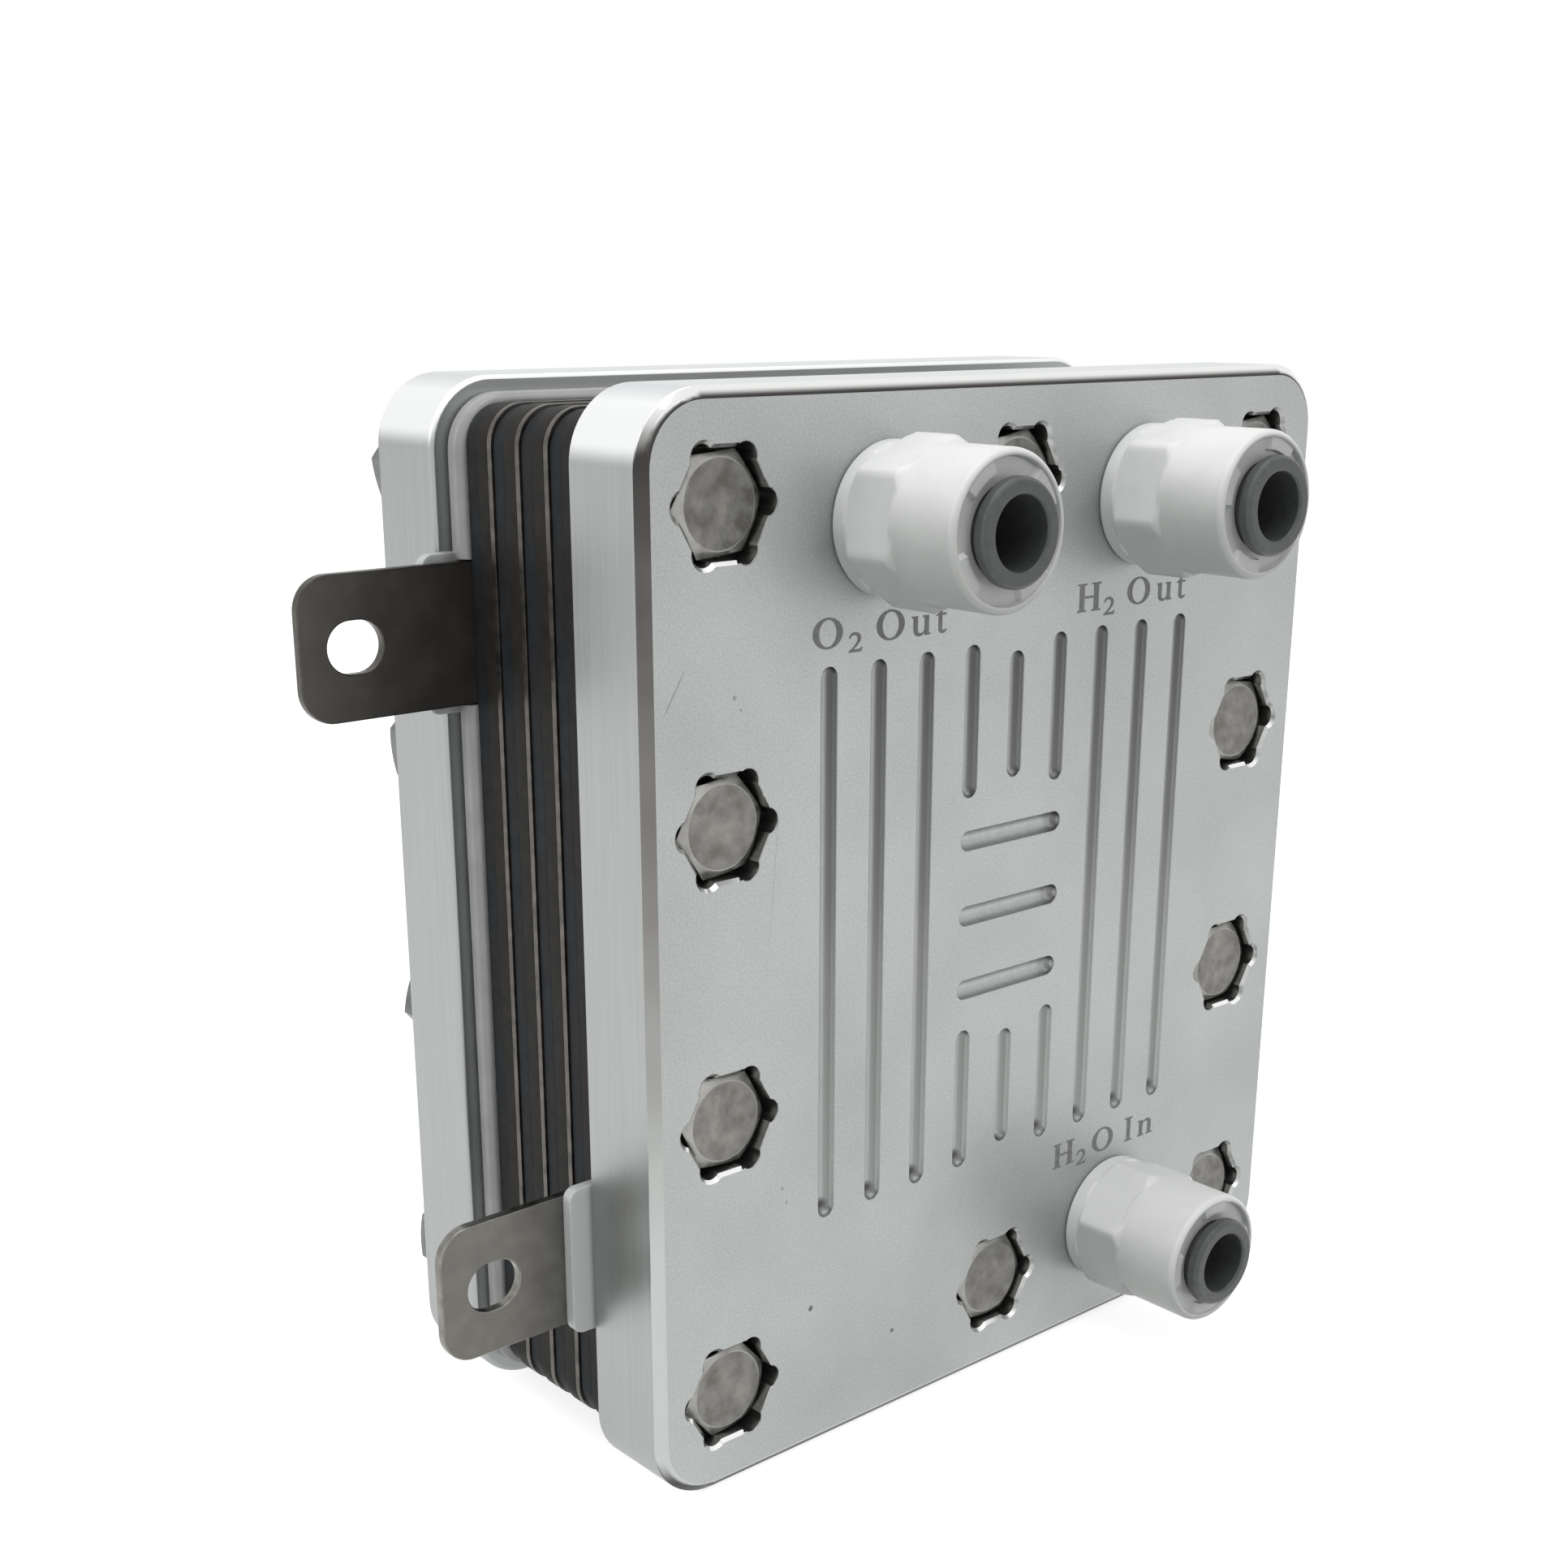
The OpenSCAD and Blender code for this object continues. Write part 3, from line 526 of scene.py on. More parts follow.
# Inside: drawn tube, a tan film, matted black fibres and plain soft rubber
sleeve_white = moulded_plastic("white_sleeve_tube", 4.0,
                               [(0.3, "#dcddda"), (0.7, "#e8e9e6")], 0.45, 0.6, 0.005, 0.2)
film = moulded_plastic("membrane_film", 5.0, [(0.3, "#a58f66"), (0.7, "#bfa97e")], 0.3, 1.0, 0.01, 0.2)
felt = moulded_plastic("carbon_felt", 0.35, [(0.35, "#101011"), (0.7, "#2c2c2d")], 0.9, 0.12, 0.08)
rubber = moulded_plastic("black_rubber", 1.5, [(0.3, "#161617"), (0.7, "#222223")], 0.6, 0.25, 0.01)
# The marks are filled with a matt ink
mark_grey = moulded_plastic("grey_marking_ink", 0.8,
                            [(0.3, "#747674"), (0.7, "#858784")], 0.55, 0.2, 0.003)
print("plastics:", grey_acetal.name, brown_frame.name, rubber.name)

# %% [markdown]
# ## White fittings and milky sheet
# Two plastics change over the piece. The fittings are white polypropylene, a soft white that lets a
# little light in: its white gets painted shade that deepens the more a face turns down, while faces that
# turn up stay white. The insulators are a milky grey sheet, darkened between the plates as painted shade,
# while its ears, which stand free of the plates, are painted paler, as painted light coming through them.
# Both take the plain plastic and change its colour before it reaches the shader.

# %% White and milky materials
def white_polypropylene():
    """White with painted shade that deepens the more it faces down; returns the material."""
    material = moulded_plastic("white_polypropylene", 6.0,
                               [(0.3, "#f3f4f3"), (0.7, "#fafbfa")], 0.34, 0.6, 0.006, 0.1)
    tree = material.node_tree
    colour = tree.nodes["Principled BSDF"].inputs["Base Color"]
    skin = colour.links[0].from_socket
    # Painted shade: the more a face turns down, the darker its white
    tones = [(0, "#bdbfbd"), (0.4, "#d3d5d3"), (0.54, "#e8e9e8"), (0.75, "#ffffff"), (1, "#ffffff")]
    painted_shade_ramp = add_node(tree, "ShaderNodeValToRGB", [("stops", tones)],
                    [("Fac", facing(tree, "Z", -1.0, 1.0))])
    white_with_painted_shade = add_node(tree, "ShaderNodeMix", [
        ("data_type", "RGBA"), ("blend_type", "MULTIPLY"), (0, 1.0)],
        [(6, skin), (7, painted_shade_ramp.outputs["Color"])])
    tree.links.new(white_with_painted_shade.outputs[2], colour)
    return material


def milky_insulator():
    """Milky sheet: painted shade between the plates, painted light on the ears; returns the material."""
    # The sheet's grey is partly its own milky colour and partly painted shade between the plates
    material = moulded_plastic("milky_insulator_sheet", 4.0,
                               [(0.3, "#a6a7a6"), (0.7, "#b3b4b3")], 0.3, 0.8, 0.004, 0.4)
    tree = material.node_tree
    colour = tree.nodes["Principled BSDF"].inputs["Base Color"]
    shaded_sheet_colour = colour.links[0].from_socket
    texture = add_node(tree, "ShaderNodeTexCoord")
    point = add_node(tree, "ShaderNodeSeparateXYZ", [], [("Vector", texture.outputs["Object"])])
    # Painted light: past the plates' side the ears turn paler
    outside = add_node(tree, "ShaderNodeMapRange", [
        ("From Min", -plate_half_w + 1.5 * MM), ("From Max", -plate_half_w - 0.5 * MM)],
        [("Value", point.outputs["X"])])
    lit_ear_colour = add_node(tree, "ShaderNodeMix", [("data_type", "RGBA"), (7, linear("#d3d7d7"))],
                     [(0, outside.outputs["Result"]), (6, shaded_sheet_colour)])
    tree.links.new(lit_ear_colour.outputs[2], colour)
    return material


fitting_white = white_polypropylene()
milky_sheet = milky_insulator()
print("white and milky:", fitting_white.name, milky_sheet.name)

# %% [markdown]
# ## From a CAD solid to a dressed piece
# A CAD edge is perfectly sharp, and nothing real is. The quickest true way to soften it is to copy
# the CAD mesh, weld its loose triangles, dissolve the flat ones into whole faces, and let a Bevel
# modifier cut a narrow round on every edge that turns more than a given angle. Because it starts
# from the CAD solid, the copy sits exactly where the solid sits and keeps its size.

# %% Dressing helpers
WELD = 0.004 * MM
FLAT_TURN = 0.8  # degrees under which two faces count as one


def only(piece):
    """Selects one object alone and makes it active."""
    bpy.ops.object.select_all(action="DESELECT")
    piece.select_set(True)
    bpy.context.view_layer.objects.active = piece


def shade(piece, angle=40):
    """Shades the rounds smooth, while the large flat faces keep their own direction."""
    only(piece)
    bpy.ops.object.shade_smooth_by_angle(angle=math.radians(angle))
    flatten = piece.modifiers.new("flat_faces_first", "WEIGHTED_NORMAL")
    flatten.weight = 100
    flatten.keep_sharp = True
    bpy.ops.object.modifier_apply(modifier=flatten.name)


def soften(piece, width_mm, angle, segments):
    """Rounds every edge sharper than the angle, then shades the rounds smooth."""
    only(piece)
    bevel = piece.modifiers.new("edge_round", "BEVEL")
    bevel.width = width_mm * MM
    bevel.segments = segments
    bevel.limit_method = "ANGLE"
    bevel.angle_limit = math.radians(angle)
    bevel.use_clamp_overlap = False
    bpy.ops.object.modifier_apply(modifier=bevel.name)
    shade(piece)


def dressed(node, width_mm, angle=30, segments=2, first=None):
    """A welded copy of a CAD node with softened edges, standing for that node."""
    piece = bpy.data.objects.new(node + "_dressed", nodes[node].data.copy())
    scene.collection.objects.link(piece)
    only(piece)
    bpy.ops.mesh.customdata_custom_splitnormals_clear()
    bpy.ops.object.mode_set(mode="EDIT")
    bpy.ops.mesh.select_all(action="SELECT")
    bpy.ops.mesh.remove_doubles(threshold=WELD)
    bpy.ops.mesh.dissolve_limited(angle_limit=math.radians(FLAT_TURN))
    bpy.ops.object.mode_set(mode="OBJECT")
    if first is not None:
        first(piece)
    soften(piece, width_mm, angle, segments)
    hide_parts(node)
    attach(piece, nodes[node]["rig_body"])
    return piece


def bevel_edges(piece, wanted, width, segments):
    """Bevels, in edit mode, each edge whose two end points the wanted rule accepts."""
    only(piece)
    bpy.ops.object.mode_set(mode="EDIT")
    bpy.ops.mesh.select_mode(type="EDGE")
    bpy.ops.mesh.select_all(action="DESELECT")
    bpy.ops.object.mode_set(mode="OBJECT")
    for edge in piece.data.edges:
        edge.select = wanted([piece.data.vertices[i] for i in edge.vertices])
    bpy.ops.object.mode_set(mode="EDIT")
    bpy.ops.mesh.bevel(offset=width, segments=segments, affect="EDGES", clamp_overlap=False)
    bpy.ops.object.mode_set(mode="OBJECT")


def finish_faces(piece, materials, rule=lambda middle, normal: 0):
    """Gives each face the material that the rule picks from its middle and its normal."""
    piece.data.materials.clear()
    for material in materials:
        piece.data.materials.append(material)
    for face in piece.data.polygons:
        face.material_index = rule(face.center, face.normal)


# %% [markdown]
# ## Faces of an end plate
# One plate has several kinds of surface, so each face of the copy is sorted by where it lies and which
# way it points: the blasted front, the polished bevel round it, the milled sides, and the cut walls of
# pockets and grooves. The narrow rounds get the brightest finish: a cutter leaves a fresh shiny line on
# every edge that it breaks, and where the rounds turn up they get a painted highlight.

# %% Face sorting
BLASTED, BEVEL, SIDE, POCKET, EDGE, GROOVE = range(6)
plate_finishes = [face_metal, bevel_metal, side_metal, pocket_metal, edge_metal, groove_metal]
PLATE_THICK = plate_high.y - plate_low.y
CORNER_R = 10 * MM
RIM = 2.3 * MM
BEVEL_DEEP = 1.3 * MM
ROUND_DEEP = 0.5 * MM
GROOVE_HALF_W = 39 * MM
GROOVE_HALF_H = 41.5 * MM
GROOVE_LIP = 0.14 * MM
FLAT = 0.999  # how straight along Y a flat face points
LEANING = 0.2
ON_FACE = 0.05 * MM
NEAR_BACK = 0.1 * MM


def plate_rule(outer_y, inward):
    """Sorts the faces of a plate whose outer face lies at outer_y and whose depth runs inward."""
    def rule(middle, normal):
        x, z = abs(middle.x), abs(middle.z - middle_z)
        from_rim = min(plate_half_w - x, plate_half_h - z)
        past = Vector((x - (plate_half_w - CORNER_R), z - (plate_half_h - CORNER_R)))
        if past.x > 0 and past.y > 0:
            from_rim = CORNER_R - past.length
        depth = (middle.y - outer_y) * inward
        flat = abs(normal.y) > FLAT
        if flat and depth < ON_FACE:
            return BLASTED
        if from_rim < RIM:
            return BEVEL if depth < BEVEL_DEEP and abs(normal.y) > LEANING else SIDE
        if flat and depth > PLATE_THICK - NEAR_BACK:
            return SIDE
        if x < GROOVE_HALF_W and z < GROOVE_HALF_H and inward > 0:
            return BLASTED if depth < GROOVE_LIP else GROOVE
        if depth < ROUND_DEEP and abs(normal.y) > LEANING and not flat:
            return EDGE
        return POCKET
    return rule


print("kinds of surface on a plate:", len(plate_finishes))

# %% [markdown]
# ## End plates
# The rear plate only needs its narrow rounds. On the front plate the mouth of each bolt pocket has a
# wide bright chamfer as well. It is cut first, by selecting the edges of the mouths on the front
# face and bevelling them in edit mode, and the narrow rounds follow.

# %% Plates
MOUTH = 0.5 * MM
RIM_GAP = 4 * MM  # the rim's own edges lie nearer than this to the outline
COLUMN_GAP = 10 * MM  # from the heads' outer flats inwards to the far side of their pockets
MIDDLE_HALF_W = 9 * MM
MIDDLE_LOW = 53 * MM  # the top and bottom pockets, from the plate's middle
MIDDLE_HIGH = 72 * MM
LEVEL = 0.01 * MM


def break_pocket_mouths(piece):
    """Cuts the wide bright chamfer round the mouth of each bolt pocket."""
    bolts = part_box("clamp_bolts")
    column_x = (bolts[1].x - bolts[0].x) / 2 - COLUMN_GAP

    def on_a_mouth(ends):
        across = [abs(end.co.x) for end in ends]
        up = [abs(end.co.z - middle_z) for end in ends]
        on_face = all(abs(end.co.y - front_y) <= LEVEL for end in ends)
        inside = max(up) < plate_half_h - RIM_GAP
        at_side = min(across) > column_x and max(across) < plate_half_w - RIM_GAP
        in_middle = max(across) < MIDDLE_HALF_W and min(up) > MIDDLE_LOW and max(up) < MIDDLE_HIGH
        return on_face and inside and (at_side or in_middle)

    bevel_edges(piece, on_a_mouth, MOUTH, 1)


front_plate = dressed("front_end_plate", 0.16, angle=50, first=break_pocket_mouths)
finish_faces(front_plate, plate_finishes, plate_rule(front_y, 1))
rear_plate = dressed("rear_end_plate", 0.22, angle=32)
finish_faces(rear_plate, plate_finishes, plate_rule(back_y, -1))
print("front plate faces:", len(front_plate.data.polygons), "rear:", len(rear_plate.data.polygons))

# %% [markdown]
# ## Cells, insulators and terminals
# Between the plates only thin edges show. Each frame gets a round of a fifth of a millimetre, which is
# enough for a highlight to run along it and for a dark seam to open between two frames. The insulators
# are softer: beside the cells their chamfer is moved out and cut in steps, until the rim rolls over as a
# sheet's does. The tabs are flat sheet. The cut edge of the front one is painted brighter than its faces,
# as a painted highlight, while the rear one is painted dark all over, as painted shade.

# %% Cell pieces
CELLS = 4
SHEET_R = 7.8 * MM
CHAMFER = 0.3 * MM
ROLL = 0.9 * MM
ROLL_SHARE = 0.4
NEAR = 0.02 * MM


def roll_rim(cell_y, away):
    """Makes the narrow chamfer of a sheet's rim, beside the cells, a wide soft round."""
    def first(piece):
        half_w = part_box("rear_insulator")[1].x
        half_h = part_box("rear_insulator")[1].z - middle_z
        side_ring, face_ring = set(), set()
        for corner in piece.data.vertices:
            x, z = corner.co.x, corner.co.z - middle_z
            reach = Vector((max(abs(x) - half_w + SHEET_R, 0), max(abs(z) - half_h + SHEET_R, 0)))
            from_rim = SHEET_R - reach.length
            depth = abs(corner.co.y - cell_y)
            if from_rim < NEAR and abs(depth - CHAMFER) < NEAR:
                side_ring.add(corner.index)
                corner.co.y += (ROLL - CHAMFER) * away
            elif abs(from_rim - CHAMFER) < NEAR and depth < NEAR:
                face_ring.add(corner.index)
                step = reach.normalized() * (ROLL - CHAMFER)
                corner.co.x -= math.copysign(step.x, x)
                corner.co.z -= math.copysign(step.y, z)

        def on_a_ring(ends):
            numbers = {end.index for end in ends}
            return numbers <= side_ring or numbers <= face_ring

        bevel_edges(piece, on_a_ring, ROLL_SHARE * ROLL, 3)
        print(piece.name, "rim corners:", len(side_ring), len(face_ring))
    return first


def tab_rule(middle, normal):
    """The broad faces take the first finish, the cut edge and its rounds the second."""
    return 0 if abs(normal.y) > 0.98 else 1


for i in range(1, CELLS + 1):
    finish_faces(dressed(f"anode_frame_{i}", 0.22), [brown_frame])
    finish_faces(dressed(f"cathode_frame_{i}", 0.22), [blue_frame])
for i in range(1, CELLS):
    finish_faces(dressed(f"bipolar_plate_{i}", 0.08), [titanium])
for name, side, away in (("front_insulator", 1, -1), ("rear_insulator", 0, 1)):
    roll = roll_rim(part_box(name)[side].y, away)
    finish_faces(dressed(name, 0.15, first=roll), [milky_sheet])
# The front terminal takes the paler brass and a brighter edge as painted light, the rear one the darker
# copies as painted shade
finish_faces(dressed("front_terminal_plate", 0.2, segments=3), [lit_brass, lit_brass_edge], tab_rule)
finish_faces(dressed("rear_terminal_plate", 0.2, segments=3), [shaded_brass, shaded_brass_edge], tab_rule)

# %% [markdown]
# ## Bolts, washers and nuts
# The ten heads lie in six-lobed pockets, each turned a few degrees differently, as a hand left them.
# The CAD heads already have the turned cone under the corners, so a small round is all they need.

# %% Fasteners
def head_rule(middle, normal):
    """The flat top is worn dull; the turned cone and the flats of the hexagon stay brighter."""
    return 0 if normal.y < -0.995 else 1


finish_faces(dressed("clamp_bolts", 0.12, angle=18), [head_steel, flank_steel], head_rule)
finish_faces(dressed("washers", 0.12), [nut_steel])
finish_faces(dressed("nuts", 0.15, angle=24), [nut_steel])
low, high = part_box("clamp_bolts")
print("fasteners dressed; the bolts are", round((high.y - low.y) / MM, 1), "mm long with their heads")

# %% [markdown]
# ## Push-fit fittings
# A push-fit body is moulded, so nothing on it is sharp: the shoulder, the hexagon and the round body
# flow into each other. A bevel on the CAD copy would tangle where the flats run out in a curve, so
# this piece is raised anew. A ring is extruded from station to station and resized at each, as on
# a lathe, out along the outside and back in through the bore. Then the ring points that stand
# outside a flat of the hexagon are pushed in onto it, and four low pads rise in the end recess.

# %% Lathe helper and the fitting body
STEPS = 96
OUTSIDE = [  # radius and distance out from the plate face, in mm
    (8.3, 0), (9.7, 0), (10.15, 0.15), (10.4, 0.55), (10.4, 2.42), (10.4, 2.6), (11.0, 3.15),
    (11.42, 3.55), (11.55, 3.9), (11.55, 10.5), (11.48, 10.72), (11.25, 11.0), (10.85, 11.4),
    (10.5, 11.8), (10.5, 21.5), (10.44, 21.85), (10.24, 22.13), (9.95, 22.34), (9.72, 22.4),
    (9.52, 22.36), (9.42, 22.24), (9.38, 21.52), (9.26, 21.4),
]
INSIDE = [
    (7.7, 21.4), (7.56, 21.4), (6.2, 21.4), (6.07, 21.27), (6.07, 16.8), (6.67, 15.2), (6.67, 5.6),
    (4.85, 5.6), (4.85, 1.0), (3.55, 1.0), (3.55, -11.0), (7.5, -11.0), (8.3, -10.2), (8.3, 0),
]
HEX_FLAT = 10.1  # from the axis to a flat of the hexagon, in mm
HEX_R = 9
HEX_FROM = 2.5
HEX_TO = 11.7
HEX_END = 10.6
BARREL_FROM = 10.9
BARREL_R = 10.5
BARREL_EASED = 10.2
PAD_TOP = 22.05
PAD_COUNT = 4
PAD_SHARE = 0.42
RECESS_R = (7.6, 9.45)
RECESS_OUT = (21.3, 21.6)
TURNS = {"oxygen": 21, "hydrogen": 16, "water": 43}
PAD_TURNS = {"oxygen": 18, "hydrogen": 50, "water": 70}


def lathe(name, stations):
    """Extrudes a ring from station to station along -Y and resizes it at each one."""
    bpy.ops.object.select_all(action="DESELECT")
    radius, out = stations[0]
    bpy.ops.mesh.primitive_circle_add(vertices=STEPS, radius=radius * MM, location=(0, -out * MM, 0),
                                      rotation=(math.radians(90), 0, 0))
    piece = bpy.context.active_object
    piece.name = name
    bpy.ops.object.transform_apply(location=True, rotation=True, scale=True)
    bpy.ops.object.mode_set(mode="EDIT")
    bpy.ops.mesh.select_all(action="SELECT")
    for next_radius, next_out in stations[1:]:
        bpy.ops.mesh.extrude_region_move(
            TRANSFORM_OT_translate={"value": (0, (out - next_out) * MM, 0)})
        grow = next_radius / radius
        bpy.ops.transform.resize(value=(grow, 1, grow), center_override=(0, -next_out * MM, 0))
        radius, out = next_radius, next_out
    bpy.ops.object.mode_set(mode="OBJECT")
    return piece


def close_and_turn_out(piece):
    """Welds the last ring to the first and makes every face point outwards."""
    only(piece)
    bpy.ops.object.mode_set(mode="EDIT")
    bpy.ops.mesh.select_all(action="SELECT")
    bpy.ops.mesh.remove_doubles(threshold=0.002 * MM)
    bpy.ops.mesh.normals_make_consistent(inside=False)
    bpy.ops.object.mode_set(mode="OBJECT")


def body_floor(out):
    """The round body under the hexagon's front end, which no flat may cut into."""
    if out < HEX_END:
        return 0.0
    return BARREL_EASED if out < BARREL_FROM else BARREL_R


for port, place in ports.items():
    fitting = lathe(port + "_fitting_body", OUTSIDE + INSIDE)
    for corner in fitting.data.vertices:
        radius = math.hypot(corner.co.x, corner.co.z) / MM
        out = -corner.co.y / MM
        angle = math.degrees(math.atan2(corner.co.z, corner.co.x))
        if HEX_FROM < out < HEX_TO and radius > HEX_R:
            across = (angle - TURNS[port]) % 60 - 30
            flat = HEX_FLAT / math.cos(math.radians(across))
            wanted = max(body_floor(out), min(radius, flat))
            corner.co.x *= wanted / radius
            corner.co.z *= wanted / radius
        if RECESS_OUT[0] < out < RECESS_OUT[1] and RECESS_R[0] < radius < RECESS_R[1]:
            share = (angle - PAD_TURNS[port]) % (360 / PAD_COUNT) / (360 / PAD_COUNT)
            if share < PAD_SHARE:
                corner.co.y = -PAD_TOP * MM
    close_and_turn_out(fitting)
    shade(fitting, 42)
    for corner in fitting.data.vertices:
        corner.co += Vector((place.x, front_y, place.z))
    fitting.data.materials.append(fitting_white)
    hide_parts(port + "_fitting")
    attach(fitting, "stack")
print("fitting bodies:", len(ports), "rings in each:", len(OUTSIDE) + len(INSIDE))

# %% [markdown]
# ## Release collets
# A collet is the dark ring that is pushed in to free the tube. Its CAD copy is already right, down
# to the slotted fingers inside, so it only needs its soft moulded edges. It rides on its own body.

# %% Collets
for port in ports:
    finish_faces(dressed(port + "_collet", 0.16, angle=28), [grey_acetal])
print("collets dressed:", len(ports))

# %% [markdown]
# ## Pieces inside
# Sleeves, membranes, meshes, felts, seals and grab rings keep their CAD meshes, because nothing of
# their shape is missing. They still get real finishes, for anyone who takes the stack apart.

# %% Finishes of the inner pieces
inner = {"bolt_sleeves": sleeve_white}
for i in range(1, CELLS + 1):
    inner[f"membrane_{i}"] = film
    inner[f"anode_mesh_{i}"] = sintered
    inner[f"cathode_felt_{i}"] = felt
for port in ports:
    inner[port + "_grab_ring"] = spring_steel
    inner[port + "_tube_seal"] = rubber
    inner[port + "_port_seal"] = rubber
for name, material in inner.items():
    nodes[name].data.materials.clear()
    nodes[name].data.materials.append(material)
print("inner pieces finished:", len(inner))

# %% [markdown]
# ## Letters for the marks
# Short marks beside the ports say what flows in or out. On the real plate they are filled with grey ink
# in a wide letter with thick stems and thin feet. Blender's own letter has even strokes, so each letter
# here is an outline drawn in a box of one by one.

# %% Letter outlines
def ring(rx, ry, steps=40):
    """An oval round the middle of the letter's box."""
    turns = [2 * math.pi * i / steps for i in range(steps)]
    return [(0.5 + rx * math.cos(t), 0.5 + ry * math.sin(t)) for t in turns]


LETTERS = {
    "O": [ring(0.5, 0.5), ring(0.29, 0.43)],
    "I": [[(0, 0), (1, 0), (1, 0.05), (0.74, 0.08), (0.74, 0.92), (1, 0.95), (1, 1), (0, 1), (0, 0.95),
           (0.26, 0.92), (0.26, 0.08), (0, 0.05)]],
    "H": [[(0, 0), (0.39, 0), (0.39, 0.05), (0.3, 0.08), (0.3, 0.47), (0.7, 0.47), (0.7, 0.08),
           (0.61, 0.05), (0.61, 0), (1, 0), (1, 0.05), (0.91, 0.08), (0.91, 0.92), (1, 0.95), (1, 1),
           (0.61, 1), (0.61, 0.95), (0.7, 0.92), (0.7, 0.55), (0.3, 0.55), (0.3, 0.92), (0.39, 0.95),
           (0.39, 1), (0, 1), (0, 0.95), (0.09, 0.92), (0.09, 0.08), (0, 0.05)]],
    "u": [[(0, 1), (0, 0.93), (0.1, 0.88), (0.1, 0.32), (0.14, 0.14), (0.25, 0.02), (0.42, -0.02),
           (0.58, 0.04), (0.68, 0.16), (0.68, 0), (1, 0.03), (1, 0.1), (0.91, 0.14), (0.91, 1), (0.58, 1),
           (0.58, 0.93), (0.68, 0.88), (0.68, 0.28), (0.6, 0.17), (0.48, 0.13), (0.37, 0.17),
           (0.33, 0.3), (0.33, 1)]],
    "n": [[(0, 0), (0.41, 0), (0.41, 0.07), (0.32, 0.12), (0.32, 0.74), (0.43, 0.84), (0.54, 0.87),
           (0.64, 0.82), (0.67, 0.7), (0.67, 0.12), (0.58, 0.07), (0.58, 0), (1, 0), (1, 0.07),
           (0.9, 0.12), (0.9, 0.74), (0.85, 0.92), (0.71, 1.01), (0.57, 1), (0.43, 0.94), (0.32, 0.83),
           (0.32, 1), (0, 1), (0, 0.93), (0.09, 0.88), (0.09, 0.12), (0, 0.07)]],
    "t": [[(0, 0.7), (0.24, 0.78), (0.42, 0.88), (0.5, 1), (0.58, 1), (0.58, 0.78), (0.95, 0.78),
           (0.95, 0.69), (0.58, 0.69), (0.58, 0.2), (0.63, 0.12), (0.76, 0.1), (0.95, 0.16), (1, 0.11),
           (0.82, 0.01), (0.6, -0.02), (0.37, 0.02), (0.25, 0.12), (0.25, 0.69), (0, 0.69)]],
    "2": [[(0, 0), (0.92, 0), (1, 0.22), (0.93, 0.22), (0.83, 0.14), (0.34, 0.14), (0.64, 0.33),
           (0.83, 0.5), (0.9, 0.68), (0.83, 0.85), (0.67, 0.96), (0.45, 1), (0.22, 0.96), (0.07, 0.85),
           (0, 0.7), (0.09, 0.69), (0.18, 0.8), (0.31, 0.86), (0.45, 0.85), (0.58, 0.79), (0.65, 0.69),
           (0.63, 0.56), (0.52, 0.42), (0.32, 0.25), (0, 0.06)]],
}
print("letters drawn:", "".join(LETTERS))

# %% [markdown]
# ## Marks on the face
# Each outline becomes a flat curve, is filled and made a mesh, and only then is stretched to its
# width and laid on the face. The letters of one mark are joined, as one dip of the ink filled them.

# %% Port marks
CAP, LOW_CASE, TALL, SMALL, DROP = 4.2, 2.8, 3.6, 2.7, -0.9
MARKS = [  # left end and foot in mm from the middle of the face, then letter, start, width, height, drop
    (-39.9, 42.6, [("O", 0, 5.4, CAP, 0), ("2", 6.5, 2.5, SMALL, DROP), ("O", 11.6, 5.3, CAP, 0),
                   ("u", 18.2, 3.7, LOW_CASE, 0), ("t", 22.9, 2.2, TALL, 0)]),
    (12.5, 42.6, [("H", 0, 5.2, CAP, 0), ("2", 6.0, 2.5, SMALL, DROP), ("O", 11.3, 5.3, CAP, 0),
                  ("u", 18.2, 3.6, LOW_CASE, 0), ("t", 22.9, 2.3, TALL, 0)]),
    (12.6, -47.0, [("H", 0, 4.9, CAP, 0), ("2", 5.7, 2.3, SMALL, DROP), ("O", 9.4, 5.2, CAP, 0),
                   ("I", 17.6, 1.9, CAP, 0), ("n", 21.0, 3.7, LOW_CASE, 0)]),
]
MARK_THICK = 0.03


def flat_letter(letter, corner_x, corner_z, width, height):
    """A filled letter, thickened a little and laid on the front face."""
    curve = bpy.data.curves.new("letter", "CURVE")
    curve.dimensions = "2D"
    curve.fill_mode = "BOTH"
    curve.extrude = MARK_THICK / 2
    for outline in LETTERS[letter]:
        spline = curve.splines.new("POLY")
        spline.points.add(len(outline) - 1)
        for point, (x, y) in zip(spline.points, outline):
            point.co = (x, y, 0, 1)
        spline.use_cyclic_u = True
    piece = bpy.data.objects.new("letter", curve)
    scene.collection.objects.link(piece)
    only(piece)
    bpy.ops.object.convert(target="MESH")
    piece = bpy.context.active_object
    for vertex in piece.data.vertices:
        x, y, z = vertex.co
        vertex.co = ((corner_x + x * width) * MM, front_y - (z + MARK_THICK / 2) * MM,
                     middle_z + (corner_z + y * height) * MM)
    return piece


for number, (left, foot, row) in enumerate(MARKS, 1):
    letters = [flat_letter(letter, left + begin, foot + drop, width, height)
               for letter, begin, width, height, drop in row]
    bpy.ops.object.select_all(action="DESELECT")
    for letter in letters:
        letter.select_set(True)
    bpy.context.view_layer.objects.active = letters[0]
    bpy.ops.object.join()
    mark = bpy.context.active_object
    mark.name = f"port_mark_{number}"
    mark.data.materials.append(mark_grey)
    close_and_turn_out(mark)
    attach(mark, "stack")
print("marks:", len(MARKS))

# %% [markdown]
# ## Table
# The stack stands on a white table. More light would wash out the stack long before the table turned
# white, so the paint keeps an honest pale grey and glows a little, but only for the camera and in
# reflections. The shadow of the stack stays on it.

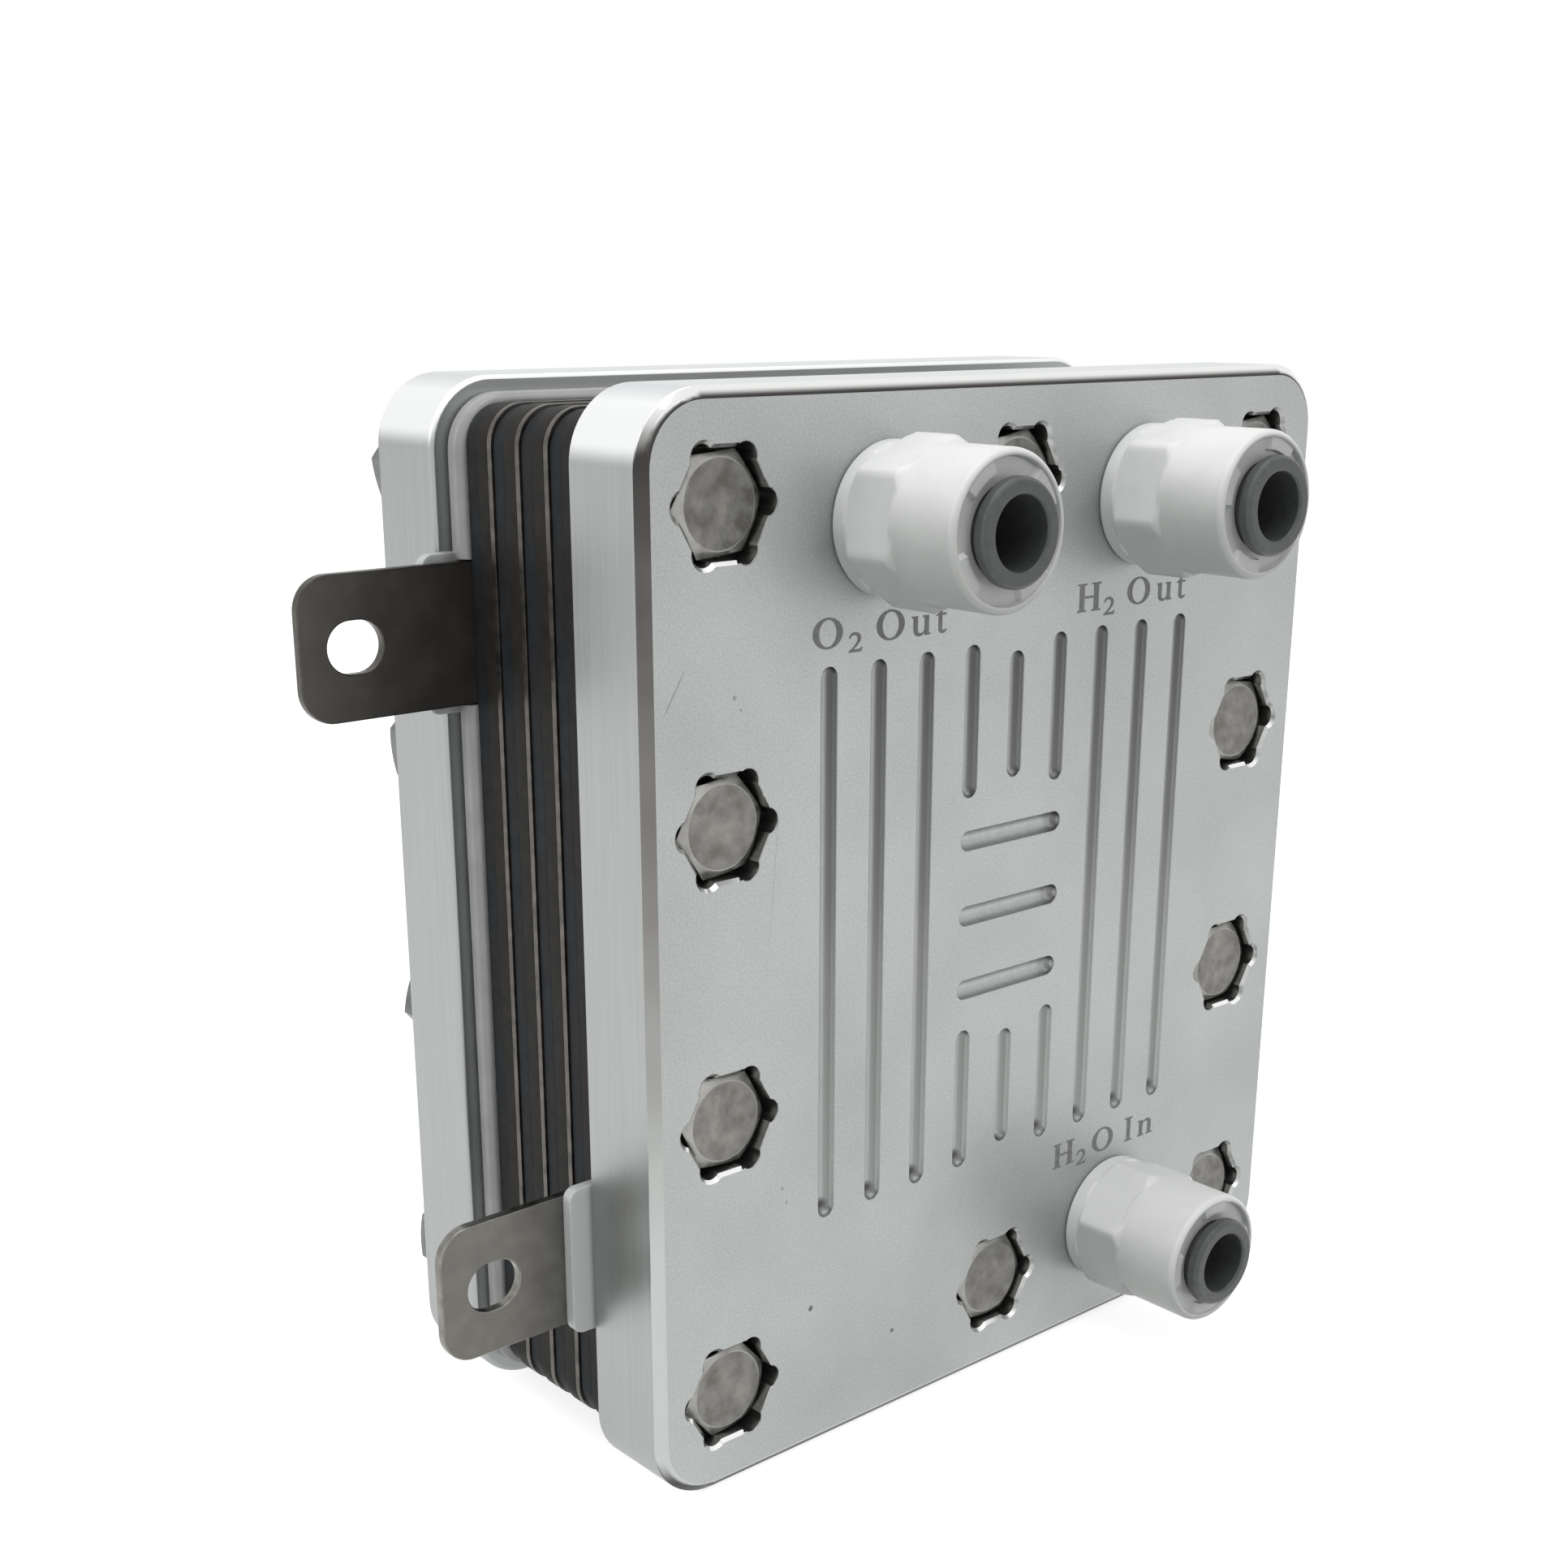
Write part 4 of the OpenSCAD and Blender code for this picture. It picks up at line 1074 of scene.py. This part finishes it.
# %% Floor
def seen_directly(tree):
    """One for the camera and for what mirrors or clear pieces show, zero for light on its way."""
    rays = add_node(tree, "ShaderNodeLightPath")
    share = rays.outputs["Is Camera Ray"]
    for kind in ("Is Glossy Ray", "Is Transmission Ray"):
        share = add_node(tree, "ShaderNodeMath", [("operation", "MAXIMUM")],
                         [(0, share), (1, rays.outputs[kind])]).outputs["Value"]
    return share


TABLE_SIZE = 6
bpy.ops.object.select_all(action="DESELECT")
bpy.ops.mesh.primitive_plane_add(size=TABLE_SIZE, location=(0, 0, 0))
floor = bpy.context.active_object
floor.name = "white_table"
# Matt paint: an even white with hardly any gloss, so the shadow under the stack stays soft
table_white, table_tree, table_shader = start_material("white_table_paint", 0.0, 0.7)
table_shader.inputs["Base Color"].default_value = linear("#d2d2d2")
table_shader.inputs["Specular IOR Level"].default_value = 0.1
table_shader.inputs["Emission Color"].default_value = (1, 1, 1, 1)
glow = add_node(table_tree, "ShaderNodeMath", [("operation", "MULTIPLY"), (1, 0.78)],
                [(0, seen_directly(table_tree))])
table_tree.links.new(glow.outputs["Value"], table_shader.inputs["Emission Strength"])
floor.data.materials.append(table_white)
print("table", TABLE_SIZE, "m square")

# %% [markdown]
# ## Room and lamps
# A large lamp overhead gives the top its light, one on the left lights the side, and a weaker one in
# front opens the shadows. The room shows white to the camera and in reflections, and gives the
# surfaces themselves only part of that light.

# %% Room and lamps
world = bpy.data.worlds.new("white_room")
scene.world = world
world.use_nodes = True
room = world.node_tree
background = room.nodes["Background"]
background.inputs["Color"].default_value = (1, 1, 1, 1)
strength = add_node(room, "ShaderNodeMapRange", [("To Min", 0.4), ("To Max", 1.0)],
                    [("Value", seen_directly(room))])
room.links.new(strength.outputs["Result"], background.inputs["Strength"])

LAMPS = [  # name, place, size in metres and power in watts
    ("overhead_softbox", (-0.1, -0.1, 1.3), 1.2, 8.0),
    ("left_softbox", (-1.2, 0.2, 0.7), 0.9, 3.0),
    ("front_fill", (0.2, -1.4, 0.7), 0.9, 1.5),
]
AIM = Vector((0, 0.02, 0.08))
for name, place, size, watts in LAMPS:
    data = bpy.data.lights.new(name, "AREA")
    data.size = size
    data.energy = watts
    lamp = bpy.data.objects.new(name, data)
    lamp.location = place
    lamp.rotation_euler = (AIM - Vector(place)).to_track_quat("-Z", "Y").to_euler()
    scene.collection.objects.link(lamp)
print("lamps:", [lamp[0] for lamp in LAMPS])
